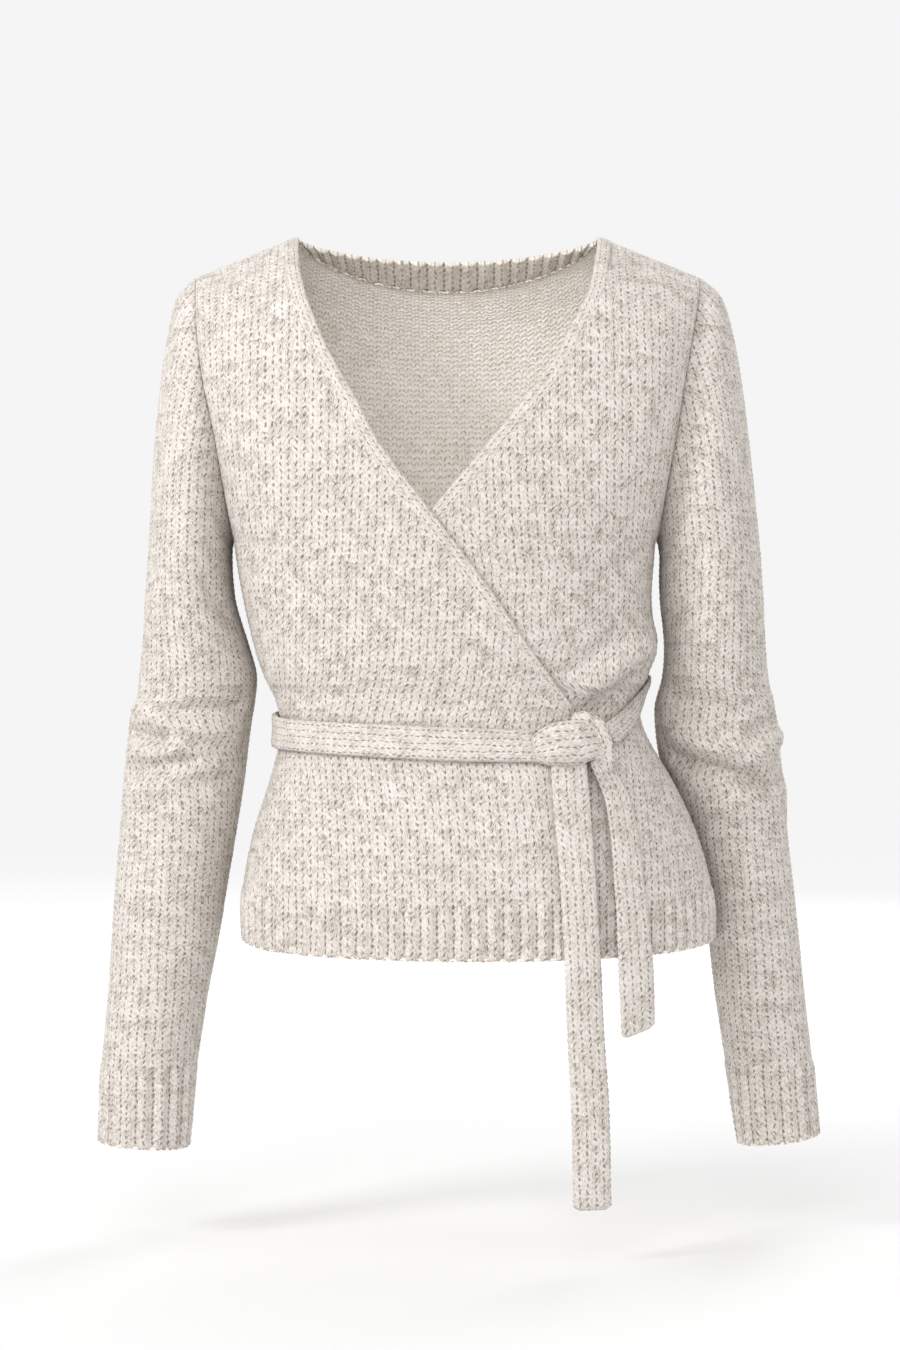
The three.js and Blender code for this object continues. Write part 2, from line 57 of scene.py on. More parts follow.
# %% Sections and edges
NECK_HALF = 111.0
SHOULDER_HALF = 186.0
SHOULDER_DROP = 30.0
ARMPIT_Z = -223.0
ARMHOLE_HALF_DEPTH = 52.0
SIDE_HEM_Z = -516.0
HEM_DIP = 9.0
SHOULDER_ROLL = 110.0
RIB_BAND = 36.0
CUFF_HEIGHT = 54.0
WALL = 3.0
WRAP_LIFT = WALL + 1.8
BELT_GAP = 1.4
BELT_THICK = 5.2
TAIL_GAP = 1.1


def table(names, *rows):
    columns = list(zip(*rows))
    return {name: np.array(column, float) for name, column in zip(names.split(), columns)}


BODY = table(
    "z mid half front back",
    (10, 0, 188, 100, 92), (-30, 0, 186, 102, 94), (-100, -3, 176, 105, 97),
    (-150, -2, 167, 108, 97), (-200, -2, 159, 109, 94), (-260, -1, 151, 104, 90),
    (-305, 5, 147, 99, 87), (-325, 6, 141, 95, 85), (-342, 7, 134, 91, 84),
    (-365, 11, 134, 90, 84), (-400, 17, 148, 97, 92), (-442, 20, 164, 106, 102),
    (-490, 22, 174, 112, 108), (-530, 23, 173, 113, 109))
OVER_EDGE = table(
    "z x", (0, -NECK_HALF), (-33, -107), (-63, -98), (-91, -86), (-127, -66), (-162, -47),
    (-208, -12), (-262, 29), (-301, 55), (-353, 89), (-400, 92), (-530, 95))
UNDER_EDGE = table(
    "z x", (0, NECK_HALF), (-24, 107), (-46, 102), (-79, 87), (-107, 71), (-160, 28),
    (-208, -12), (-262, -48), (-323, -82), (-353, -90), (-530, -90))
print("sections", len(BODY["z"]))

# %% [markdown]
# ## Smooth curves through a table
#
# A few rows are enough when the curve between them is smooth. A cubic Hermite curve passes
# through each row with the slope of its neighbours, as a flexible curve ruler does.


# %% Helpers for curves
def smooth(t):
    t = np.clip(t, 0.0, 1.0)
    return t * t * (3.0 - 2.0 * t)


def column(rows, name, z):
    zs = rows["z"]
    ys = rows[name]
    slope = np.empty_like(ys)
    slope[1:-1] = (ys[2:] - ys[:-2]) / (zs[2:] - zs[:-2])
    slope[0] = (ys[1] - ys[0]) / (zs[1] - zs[0])
    slope[-1] = (ys[-1] - ys[-2]) / (zs[-1] - zs[-2])
    z = np.asarray(z, float)
    k = np.clip(np.searchsorted(-zs, -z, side="right") - 1, 0, len(zs) - 2)
    span = zs[k + 1] - zs[k]
    t = np.clip((z - zs[k]) / span, 0.0, 1.0)
    ends = (2 * t**3 - 3 * t**2 + 1) * ys[k] + (3 * t**2 - 2 * t**3) * ys[k + 1]
    bends = (t**3 - 2 * t**2 + t) * slope[k] + (t**3 - t**2) * slope[k + 1]
    return ends + bends * span


def shoulder_z(x):
    out = np.clip((np.abs(x) - NECK_HALF) / (SHOULDER_HALF - NECK_HALF), 0, 1)
    return -SHOULDER_DROP * out


def neck_dip(x, depth):
    return -depth * np.clip(1 - (np.abs(x) / NECK_HALF) ** 2, 0, 1) ** 0.8


def armhole_y(z):
    middle = (ARMPIT_Z - SHOULDER_DROP) / 2
    reach = (-SHOULDER_DROP - ARMPIT_Z) / 2
    return ARMHOLE_HALF_DEPTH * np.sqrt(np.clip(1 - ((z - middle) / reach) ** 2, 0, 1))


def armhole_soft(z):
    middle = (ARMPIT_Z - SHOULDER_DROP) / 2
    return np.where(z > middle, armhole_y(z), ARMHOLE_HALF_DEPTH * (1 - smooth((middle - z) / 170)))


# %% [markdown]
# ## The torso surface
#
# Every torso piece lies on one surface, given by an angle round the body and a height.
# The angle runs from -90 at the wearer's right side seam, over 0 at the middle, to 90.
# Soft folds of the skirt are part of the surface, so every layer follows them together.


# %% Torso surface
def torso(face, angle, z):
    a = np.radians(angle)
    s = np.sin(a)
    c = np.clip(np.cos(a), 0, 1)
    q = np.sign(s) * np.abs(s) ** 0.84
    x = column(BODY, "mid", z) + column(BODY, "half", z) * q
    below = np.clip((shoulder_z(x) - z) / SHOULDER_ROLL, 0, 1)
    roll = np.sqrt(np.clip(1 - (1 - below) ** 2, 0, 1))
    edge = armhole_y(z)
    full = np.maximum(edge, column(BODY, "front" if face < 0 else "back", z) * roll)
    fade = smooth((-385 - z) / 60)
    fold = 1.6 * fade * np.cos(np.radians(angle * 7 + 20)) * np.cos(np.radians(angle * 0.9))
    g = 1 - c**0.91
    near = g**6
    depth = full * (1 - g) + edge * near + armhole_soft(z) * (g - near) + fold * c
    return np.stack([x, face * (depth + 0.15), z + 0 * x], -1)


def angle_at(x, z):
    q = (x - column(BODY, "mid", z)) / column(BODY, "half", z)
    s = np.sign(q) * np.clip(np.abs(q), 0, 1) ** (1 / 0.84)
    return np.degrees(np.arcsin(s))


def row_z(face, angle, side_z):
    fade = 1 - np.clip((-SHOULDER_DROP - side_z) / 170, 0, 1)
    z = side_z + 0 * angle
    for _ in range(4):
        x = torso(face, angle, z)[..., 0]
        z = side_z + (SHOULDER_DROP + shoulder_z(x)) * fade
        if face > 0:
            z = z + neck_dip(x, 31) * (1 - np.clip((-SHOULDER_DROP - side_z) / 120, 0, 1))
        else:
            z = z - HEM_DIP * smooth((-400 - side_z) / 116) * np.cos(np.radians(angle))
    return z


def over_lift(angle, z):
    return WRAP_LIFT * smooth((angle + 88) / 34) * smooth((-110 - z) / 60)


print("front at the waist", torso(-1, np.array(0.0), np.array(-365.0)).round(1))

# %% [markdown]
# ## A knitted shell
#
# Stockinette is rows of V shaped stitches. Each stitch has two legs that start close together
# at its foot, rise and spread, and tuck under the feet of the stitch above. Between two
# columns of stitches (wales), and inside each V, there is a small dark hole.
# The stitches could be separate curves, but thirty thousand of them would be far too heavy.
# Here each stitch is a patch of four by three points, moved sideways and outwards to the
# shape of its two legs. The finer fibres come from the material.
# Rows are a list of curves on the cloth; along each, points are set every quarter wale and
# the row is cut exactly at the piece's edges, so a slanted neck edge stays clean.

# %% Stitch relief
LEG_SIDE = np.array([[0.0, -0.09, 0.0, 0.09], [0.0, 0.02, 0.0, -0.02], [0.0, 0.12, 0.0, -0.12]])
LEG_UP = np.array([[0.25, 0.9, -0.75, 0.9], [-0.25, 1.0, -0.35, 1.0], [-0.8, 0.35, 0.1, 0.35]])
RNG = np.random.default_rng(7)
STITCH_NOISE = RNG.uniform(-1.0, 1.0, (1024, 512, 3))


def stitch_offset(i, r):
    col = i % 4
    row = r % 3
    wale = i // 4
    course = r // 3
    noise = STITCH_NOISE[course % 1024, wale % 512]
    up = LEG_UP[row, col] * (1 + 0.16 * noise[..., 0]) + 0.10 * noise[..., 1]
    side = LEG_SIDE[row, col] + 0.035 * noise[..., 2]
    return side, up


# %% Shell builder
class Shell:
    """Collects points and triangles of one closed piece."""

    def __init__(self):
        self.points = []
        self.uv = []
        self.height = []
        self.tris = []
        self.inner = []
        self.count = 0

    def row(self, points, uv, height):
        first = self.count
        self.points.append(points)
        self.uv.append(uv)
        self.height.append(height)
        self.count += len(points)
        return np.arange(first, self.count)

    def add(self, tris, inner, turned=False):
        tris = np.asarray(tris).reshape(-1, 3)
        self.tris.append(tris[:, ::-1] if turned else tris)
        self.inner.append(np.full(len(tris), inner))

    def zip(self, a, b, inner, turned=False):
        i = j = 0
        out = []
        while i < len(a) - 1 or j < len(b) - 1:
            next_a = (i + 1) / max(1, len(a) - 1)
            next_b = (j + 1) / max(1, len(b) - 1)
            if j == len(b) - 1 or (i < len(a) - 1 and next_a <= next_b):
                out.append((a[i], b[j], a[i + 1]))
                i += 1
            else:
                out.append((a[i], b[j], b[j + 1]))
                j += 1
        if out:
            self.add(out, inner, turned)


def resample(p, n, s, where):
    """Points and directions of one row at the lengths asked."""
    at = [np.interp(where, s, p[:, k]) for k in range(3)]
    to = np.stack([np.interp(where, s, n[:, k]) for k in range(3)], -1)
    to /= np.linalg.norm(to, axis=1, keepdims=True)
    return np.stack(at, -1), to


def lengths(p):
    return np.concatenate([[0], np.cumsum(np.linalg.norm(np.diff(p, axis=0), axis=1))])


def normals(grid, outward):
    du = np.gradient(grid, axis=1)
    dv = np.gradient(grid, axis=0)
    n = np.cross(du, dv)
    n /= np.maximum(np.linalg.norm(n, axis=2, keepdims=True), 1e-9)
    flip = np.sign(np.sum(n * outward, axis=2, keepdims=True))
    flip[flip == 0] = 1
    return n * flip


def knit_face(shell, grid, normal, wale, start, step, relief, rib, depth, inner):
    """One face of a shell: rows of points cut at both ends, joined by triangles."""
    rows = []
    for r in range(len(grid)):
        s = lengths(grid[r])
        total = s[-1]
        unit = wale * step / 4
        margin = 0.18 * wale
        low = math.ceil((margin - start[r]) / unit)
        high = math.floor((total - margin - start[r]) / unit)
        i = np.arange(low, high + 1) * step
        if inner:
            side = np.zeros(len(i))
            up = np.zeros(len(i))
        else:
            side, up = stitch_offset(i, r)
        where = np.concatenate([[0], start[r] + (i / 4 + side) * wale, [total]])
        where = np.clip(where, 0, total)
        u = np.concatenate([[-start[r] / wale], i / 4 + side, [(total - start[r]) / wale]])
        edge = smooth(np.minimum(where, total - where) / (0.6 * wale))
        h = np.concatenate([[0], up, [0]])
        wave = np.cos(math.pi * (np.concatenate([[i[0] / 4 if len(i) else 0], i / 4,
                                                 [i[-1] / 4 if len(i) else 0]]) - 0.5))
        soft = 1 - 0.45 * rib[r] * (wave < 0)
        lift = (relief * h * soft + RIB_RELIEF * rib[r] * wave) * (0.25 + 0.75 * edge)
        if inner:
            lift = RIB_RELIEF * 0.4 * rib[r] * wave * edge
        p, n = resample(grid[r], normal[r], s, where)
        ids = shell.row(p + n * (lift - depth)[:, None], np.stack([u, np.full(len(u), r if inner else r / 3)], -1),
                        np.clip(0.5 + 0.35 * h + 0.30 * rib[r] * wave, 0, 1))
        rows.append((low, high, ids))
    for (low_a, high_a, a), (low_b, high_b, b) in zip(rows, rows[1:]):
        low = max(low_a, low_b)
        high = min(high_a, high_b)
        if high - low < 1:
            shell.zip(a, b, inner, inner)
            continue
        ia = a[1 + np.arange(low, high) - low_a]
        ib = b[1 + np.arange(low, high) - low_b]
        left = (np.arange(low, high) % 4) < 2
        one = np.where(left[:, None], np.stack([ia, ib, ib + 1], -1), np.stack([ia, ib, ia + 1], -1))
        two = np.where(left[:, None], np.stack([ia, ib + 1, ia + 1], -1),
                       np.stack([ia + 1, ib, ib + 1], -1))
        shell.add(np.concatenate([one, two]), inner, inner)
        shell.zip(a[:2 + low - low_a], b[:2 + low - low_b], inner, inner)
        shell.zip(a[1 + high - low_a:], b[1 + high - low_b:], inner, inner)
    return [ids for _, _, ids in rows]


RIB_RELIEF = 1.25


def knit_sheet(name, grid, normal, wale, start, rib, relief=0.62, depth=WALL):
    """A closed wall: knitted outside, plainer inside, rims all round."""
    shell = Shell()
    outer = knit_face(shell, grid, normal, wale, start, 1, relief, rib, 0.0, False)
    rows = list(range(0, len(grid), 3))
    if rows[-1] != len(grid) - 1:
        grid = np.concatenate([grid[rows], grid[-1:]])
        normal = np.concatenate([normal[rows], normal[-1:]])
        start = np.concatenate([start[rows], start[-1:]])
        rib = np.concatenate([rib[rows], rib[-1:]])
    else:
        grid, normal, start, rib = grid[rows], normal[rows], start[rows], rib[rows]
    inner = knit_face(shell, grid, normal, wale, start, 4, 0.0, rib, depth, True)
    first = np.array([row[0] for row in outer])
    last = np.array([row[-1] for row in outer])
    first_in = np.array([row[0] for row in inner])
    last_in = np.array([row[-1] for row in inner])
    for a, b in ((inner[0], outer[0]), (outer[-1], inner[-1]), (first, first_in), (last_in, last)):
        shell.zip(a, b, False)
    return finish_shell(name, shell)


def finish_shell(name, shell, wrap=0):
    """Turns the collected rows into a Blender mesh with its faces outwards."""
    points = np.concatenate(shell.points)
    tris = np.concatenate(shell.tris)
    a, b, c = (points[tris[:, k]] for k in range(3))
    if np.sum(a * np.cross(b, c)) < 0:
        tris = tris[:, ::-1]
    inner = np.concatenate(shell.inner)
    uv = np.concatenate(shell.uv)[tris]
    if wrap:
        top = uv[..., 0].max(axis=1, keepdims=True)
        uv[..., 0] += np.where(top - uv[..., 0] > wrap / 2, wrap, 0)
    return make_mesh(name, points, tris, inner, uv, np.concatenate(shell.height))


# %% Mesh from arrays
def make_mesh(name, points, tris, inner, uv, height):
    mesh = bpy.data.meshes.new(name)
    mesh.vertices.add(len(points))
    mesh.vertices.foreach_set("co", (points * MM).astype(np.float32).ravel())
    mesh.loops.add(len(tris) * 3)
    mesh.loops.foreach_set("vertex_index", tris.astype(np.int32).ravel())
    mesh.polygons.add(len(tris))
    mesh.polygons.foreach_set("loop_start", np.arange(0, len(tris) * 3, 3, dtype=np.int32))
    mesh.polygons.foreach_set("material_index", inner.astype(np.int32))
    mesh.polygons.foreach_set("use_smooth", np.ones(len(tris), bool))
    layer = mesh.uv_layers.new(name="Stitches")
    layer.data.foreach_set("uv", uv.astype(np.float32).ravel())
    relief = mesh.attributes.new("relief", "FLOAT", "POINT")
    relief.data.foreach_set("value", height.astype(np.float32))
    mesh.update(calc_edges=True)
    mesh.validate()
    piece = bpy.data.objects.new(name, mesh)
    bpy.context.scene.collection.objects.link(piece)
    print(name, len(points), "points", len(tris), "triangles")
    return piece


# %% [markdown]
# ## The yarn
#
# The yarn is marled: two plies, one cream and one beige brown, twisted together, so every
# stitch leg shows its own mix. It is a soft wool and cotton blend, matt with a faint fuzz.
# The colour of a leg comes from a random number per leg; streaks along the leg show the
# twist, and a slow noise makes some patches browner. The holes get painted shade, and so
# do the points that the relief attribute marks as deep. Fine bump stands for the fibres.


# %% Colour and node helpers
def linear(code):
    values = [int(code[k:k + 2], 16) / 255 for k in (1, 3, 5)]
    flat = [v / 12.92 if v <= 0.04045 else ((v + 0.055) / 1.055) ** 2.4 for v in values]
    return (*flat, 1.0)


def node(tree, kind, links=None, **settings):
    made = tree.nodes.new(kind)
    for name, value in settings.items():
        if name.startswith("in_"):
            key = name[3:]
            made.inputs[int(key) if key.isdigit() else key.replace("_", " ")].default_value = value
        else:
            setattr(made, name, value)
    for key, socket in (links or {}).items():
        tree.links.new(socket, made.inputs[key])
    return made


# %% Marled wool knit
def marled_knit(name, light, fleck, hole_shade, purl=False, contrast=1.0):
    """Marled wool and cotton yarn, knitted: matt, streaked along each stitch leg."""
    material = bpy.data.materials.new(name)
    material.use_nodes = True
    tree = material.node_tree
    tree.nodes.clear()

    def maths(operation, *values):
        made = node(tree, "ShaderNodeMath", {k: v for k, v in enumerate(values) if hasattr(v, "links")},
                    operation=operation)
        for k, v in enumerate(values):
            if not hasattr(v, "links"):
                made.inputs[k].default_value = v
        return made.outputs[0]

    uv = node(tree, "ShaderNodeUVMap", uv_map="Stitches")
    place = node(tree, "ShaderNodeTexCoord")
    # hand made stitches are never quite alike, so the lattice wanders a little
    wander = node(tree, "ShaderNodeTexNoise", {"Vector": uv.outputs[0]}, in_Scale=0.8, in_Detail=2.0)
    shift = node(tree, "ShaderNodeVectorMath", {0: wander.outputs["Color"]}, operation="MULTIPLY_ADD",
                 in_1=(0.8, 1.1, 0.0), in_2=(-0.4, -0.55, 0.0))
    loose = node(tree, "ShaderNodeVectorMath", {0: uv.outputs[0], 1: shift.outputs[0]}, operation="ADD")
    split = node(tree, "ShaderNodeSeparateXYZ", {0: loose.outputs[0]})
    wale, course = split.outputs[0], split.outputs[1]
    mirror = maths("ABSOLUTE", maths("SUBTRACT", maths("FRACT", wale), 0.5))
    lean = maths("ADD", course, maths("MULTIPLY", mirror, 1.5))
    cell = node(tree, "ShaderNodeCombineXYZ", {0: maths("FLOOR", wale), 1: maths("FLOOR", course)})
    own = node(tree, "ShaderNodeTexWhiteNoise", {"Vector": cell.outputs[0]}, noise_dimensions="3D")
    leg = maths("FLOOR", maths("MULTIPLY", wale, 2.0))
    if purl:
        # the back of the knit: short wavy bumps that lie across
        wave = maths("ADD", course, maths("MULTIPLY", maths("COSINE", maths("MULTIPLY", wale, math.tau)), 0.24))
        run = node(tree, "ShaderNodeCombineXYZ", {0: maths("MULTIPLY", wale, 1.3),
                                                  1: maths("MULTIPLY", wave, 7.0)})
        gap = maths("ABSOLUTE", maths("SUBTRACT", maths("FRACT", wave), 0.5))
        slit = maths("DIVIDE", gap, 0.17)
        along = maths("ABSOLUTE", maths("SUBTRACT", maths("FRACT", maths("ADD", maths(
            "MULTIPLY", wale, 2.0), maths("MULTIPLY", own.outputs["Value"], 0.2))), 0.5))
        slit = maths("SQRT", maths("ADD", maths("POWER", slit, 2.0),
                                   maths("POWER", maths("DIVIDE", along, 0.42), 2.0)))
        form = maths("MULTIPLY", maths("COSINE", maths("MULTIPLY", wave, math.tau)), -0.5)
    else:
        # the face of the knit: a slit in the middle of every V, between its two legs
        run = node(tree, "ShaderNodeCombineXYZ", {0: maths("MULTIPLY", mirror, 10.0),
                                                  1: maths("MULTIPLY", lean, 2.1), 2: leg})
        high = maths("SUBTRACT", maths("FRACT", maths("ADD", course, 0.30)), 0.5)
        slant = maths("MULTIPLY", maths("SUBTRACT", own.outputs["Value"], 0.35), 0.8)
        aside = maths("ADD", maths("SUBTRACT", maths("FRACT", wale), 0.5), maths("MULTIPLY", high, slant))
        slit = maths("SQRT", maths("ADD", maths("POWER", maths("DIVIDE", aside, 0.14), 2.0),
                                   maths("POWER", maths("DIVIDE", high, 0.40), 2.0)))
        ply = maths("COSINE", maths("ADD", maths("MULTIPLY", mirror, 9.0), maths("MULTIPLY", lean, 12.0)))
        form = maths("MULTIPLY", ply, 0.12)
    streak = node(tree, "ShaderNodeTexNoise", {"Vector": run.outputs[0]}, in_Scale=1.0, in_Detail=3.0,
                  in_Roughness=0.6)
    patch = node(tree, "ShaderNodeTexNoise", {"Vector": uv.outputs[0]}, in_Scale=0.42, in_Detail=3.0,
                 in_Roughness=0.65)
    # marl: the beige ply comes up along some legs, a little more in some patches
    marl = maths("ADD", maths("MULTIPLY", streak.outputs["Fac"], 1.9),
                 maths("ADD", maths("MULTIPLY", patch.outputs["Fac"], 0.55),
                       maths("MULTIPLY", own.outputs["Value"], 0.20)))
    much = node(tree, "ShaderNodeMapRange", {"Value": marl}, in_1=1.12, in_2=1.82, in_3=0.0, in_4=contrast,
                interpolation_type="SMOOTHSTEP")
    yarn = node(tree, "ShaderNodeMix", {"Factor": much.outputs[0]}, data_type="RGBA")
    yarn.inputs[6].default_value = linear(light)
    yarn.inputs[7].default_value = linear(fleck)
    open_part = node(tree, "ShaderNodeMapRange", {"Value": slit}, in_1=1.15, in_2=0.35, in_3=0.0, in_4=1.0,
                     interpolation_type="SMOOTHSTEP")
    # painted shade: where a slit opens, the colour is mixed towards the dark hole colour
    hole_shade_strength = maths("MULTIPLY", open_part.outputs[0],
                     maths("ADD", 0.22, maths("MULTIPLY", streak.outputs["Fac"], 0.95)))
    slit_shaded = node(tree, "ShaderNodeMix", {"Factor": hole_shade_strength, 6: yarn.outputs[2]}, data_type="RGBA")
    slit_shaded.inputs[7].default_value = linear(hole_shade)
    # painted shade darkens the hollows between ribs and behind the legs
    relief = node(tree, "ShaderNodeAttribute", attribute_name="relief")
    low = node(tree, "ShaderNodeMapRange", {"Value": relief.outputs["Fac"]}, in_1=0.50, in_2=0.10, in_3=0.0,
               in_4=0.45 if not purl else 0.0, interpolation_type="SMOOTHSTEP")
    hollow_shaded = node(tree, "ShaderNodeMix", {"Factor": low.outputs[0], 6: slit_shaded.outputs[2]}, data_type="RGBA",
                blend_type="MULTIPLY")
    hollow_shaded.inputs[7].default_value = linear("#B9AA9A")
    fibre_place = node(tree, "ShaderNodeMapping", {"Vector": place.outputs["Object"]},
                       in_Scale=(1500.0, 1500.0, 900.0))
    fibre = node(tree, "ShaderNodeTexNoise", {"Vector": fibre_place.outputs[0]}, in_Scale=1.0,
                 in_Detail=3.0, in_Roughness=0.6)
    height = maths("ADD", maths("MULTIPLY", fibre.outputs["Fac"], 0.5), form)
    height = maths("ADD", height, maths("MULTIPLY", streak.outputs["Fac"], 0.5))
    height = maths("SUBTRACT", height, maths("MULTIPLY", open_part.outputs[0], 0.7))
    bump = node(tree, "ShaderNodeBump", {"Height": height}, in_Strength=0.6, in_Distance=0.0012)
    shader = node(tree, "ShaderNodeBsdfPrincipled", {"Base Color": hollow_shaded.outputs[2],
                                                     "Normal": bump.outputs[0]},
                  in_Roughness=0.92, in_IOR=1.5)
    shader.inputs["Specular IOR Level"].default_value = 0.2
    shader.inputs["Sheen Weight"].default_value = 0.25
    shader.inputs["Sheen Roughness"].default_value = 0.6
    shader.inputs["Sheen Tint"].default_value = linear("#F6F0E8")
    node(tree, "ShaderNodeOutputMaterial", {"Surface": shader.outputs[0]})
    return material


KNIT = marled_knit("marled_knit", "#E1DBD5", "#8C7D6E", "#55493E")
# painted light: the purl side is the same yarn, painted much lighter than the face to make up for the shade inside
# the garment
PURL_PAINTED_LIGHT = marled_knit("marled_knit_purl_side_painted_light", "#FFFBF5", "#E2D6C8", "#9A8A77", purl=True, contrast=0.9)
BELT_KNIT = marled_knit("marled_belt_knit", "#E1DCD6", "#9C8D7E", "#5F5347")
RIB_KNIT = marled_knit("marled_rib_knit", "#ECE5DD", "#B3A493", "#6B5F52")


def dress(piece, nodes, outside, inside=None):
    piece.data.materials.append(outside)
    piece.data.materials.append(inside or outside)
    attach(piece, "root")
    if nodes:
        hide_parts(*nodes)


# %% [markdown]
# ## Fronts and back
#
# The rows of a panel start at the shoulder seam and end at the hem, one every stitch row.
# Near the shoulder the surface rolls over, so the rows are spaced along the cloth and not
# by height. The wales run parallel to the side seams, as knitted, and are cut by the neck.


# %% Panel grids
WALE = 5.9
COURSE = 4.7


def panel_rows(face, angle, pitch):
    side = np.linspace(-SHOULDER_DROP, SIDE_HEM_Z, 900)
    line = torso(face, np.full(900, float(angle)), row_z(face, np.full(900, float(angle)), side))
    s = lengths(line)
    count = int(round(s[-1] / pitch)) * 3
    return np.interp(np.linspace(0, s[-1], count + 1), s, side)


def panel_grid(face, low, high, side, across=141):
    level = row_z(face, np.zeros(len(side)), side)
    a = low(level)
    b = high(level)
    t = np.linspace(0, 1, across)
    angle = a[:, None] + (b - a)[:, None] * t
    z = row_z(face, angle, side[:, None] + 0 * angle)
    return torso(face, angle, z), angle, z


def strokes(x, z, rows):
    """Sum of soft creases and ridges, each along a line from one point to another."""
    total = np.zeros_like(x)
    for x1, z1, x2, z2, width, height in rows:
        dx, dz = x2 - x1, z2 - z1
        t = ((x - x1) * dx + (z - z1) * dz) / (dx * dx + dz * dz)
        d = np.hypot(x - x1 - np.clip(t, 0, 1) * dx, z - z1 - np.clip(t, 0, 1) * dz)
        fade = np.sqrt(np.clip(1 - (2 * np.clip(t, 0, 1) - 1) ** 6, 0, 1))
        total += height * np.exp(-((d / width) ** 2)) * (0.35 + 0.65 * fade)
    return total


FRONT_FOLDS = [
    (100, -356, 138, -316, 6, -4.5), (92, -338, 146, -298, 10, 9.5), (119, -296, 129, -315, 3.5, -2.6),
    (96, -318, 128, -286, 5, -2.6),
    (-150, -218, -92, -268, 9, -2.4), (150, -222, 105, -262, 9, -2.4),
    (-158, -60, -128, -170, 16, 1.6), (158, -60, 132, -170, 16, 1.6),
    (70, -345, 5, -300, 6, -1.4), (60, -352, -30, -322, 5, -1.2), (76, -338, 38, -284, 6, -1.3),
    (-120, -334, -60, -340, 6, -1.6), (-70, -330, 10, -344, 6, -1.3),
    (-93, -398, -96, -500, 7, -1.6), (-66, -400, -70, -505, 8, -1.4), (-80, -400, -83, -500, 7, 1.3),
    (20, -400, 28, -500, 9, -1.2), (60, -395, 70, -505, 8, 1.2), (150, -385, 172, -500, 9, -1.5)]
BACK_FOLDS = [
    (-140, -222, -70, -270, 10, -2.2), (140, -222, 70, -270, 10, -2.2),
    (-110, -330, -20, -342, 6, -1.6), (10, -338, 110, -322, 6, -1.6), (-60, -318, 50, -326, 9, 1.6),
    (-80, -395, -92, -500, 8, -1.6), (-20, -398, -24, -505, 8, 1.4), (40, -395, 48, -500, 8, -1.5),
    (100, -390, 116, -500, 8, 1.3)]


def folded(face, grid, normal):
    rows = FRONT_FOLDS if face < 0 else BACK_FOLDS
    edge = smooth((1 - np.linspace(0, 1, grid.shape[1])) / 0.04)
    return strokes(grid[..., 0], grid[..., 2], rows)


def hem_ribs(side):
    return smooth((SIDE_HEM_Z + RIB_BAND - side) / 4.0 + 0.5)


def panel(name, face, low, high, lift, start, node_name, inside, angle_mid, course=COURSE):
    side = panel_rows(face, angle_mid, course)
    grid, angle, z = panel_grid(face, low, high, side)
    normal = normals(grid, np.array([0.0, face, 0.25]) + grid * [0.004, 0, 0])
    seam = np.ones(grid.shape[1])
    off = lift(angle, z) + folded(face, grid, normal)
    grid = grid + normal * off[..., None]
    grid[..., 1] = face * np.maximum(grid[..., 1] * face, 0.15)
    normal = normals(grid, normal)
    s0 = start(grid, side)
    piece = knit_sheet(name, grid, normal, WALE, s0, hem_ribs(side))
    dress(piece, [node_name], KNIT, inside)
    area = grid_area(grid)
    return piece, area, grid, normal


def grid_area(grid):
    a = np.linalg.norm(np.cross(grid[1:, :-1] - grid[:-1, :-1], grid[:-1, 1:] - grid[:-1, :-1]), axis=2)
    return float(a.sum()) * 1e-6


def total_length(grid):
    return np.array([lengths(row)[-1] for row in grid])


def length_to(grid, x):
    """How far along each row the upright line at x is met."""
    rows = []
    for row in grid:
        s = lengths(row)
        rows.append(np.interp(x, row[:, 0], s))
    return np.array(rows)


OVER_FRONT, OVER_AREA, OVER_GRID, OVER_N = panel(
    "over_front", -1, lambda z: np.full(len(z), -90.0), lambda z: angle_at(column(OVER_EDGE, "x", z), z),
    over_lift, lambda g, side: length_to(g, -116.0), "right_front", PURL_PAINTED_LIGHT, -50)
UNDER_FRONT, UNDER_AREA, UNDER_GRID, UNDER_N = panel(
    "under_front", -1, lambda z: angle_at(column(UNDER_EDGE, "x", z), z), lambda z: np.full(len(z), 90.0),
    lambda a, z: 0 * a, lambda g, side: length_to(g, 116.0),
    "left_front", PURL_PAINTED_LIGHT, 50)
BACK, BACK_AREA, BACK_GRID, BACK_N = panel(
    "back_panel", 1, lambda z: np.full(len(z), -90.0), lambda z: np.full(len(z), 90.0),
    lambda a, z: 0 * a, lambda g, side: length_to(g, 0.0), "back", PURL_PAINTED_LIGHT, 40, 5.05)

# %% [markdown]
# ## Sleeves
#
# A sleeve is a tapering tube whose top is cut to fit the armhole. It is knitted from the cuff
# up, so its rows run round the arm and its wales run along it, also over the cap. Each ring
# here is an ellipse between an outer and an inner point, the same ones as in the solids. Above
# the armpit the rows are level cuts through that surface, from the front edge of the armhole
# round the outside to its back edge. The wales are cut at the seam under the arm, as on a
# sleeve that narrows towards the wrist.

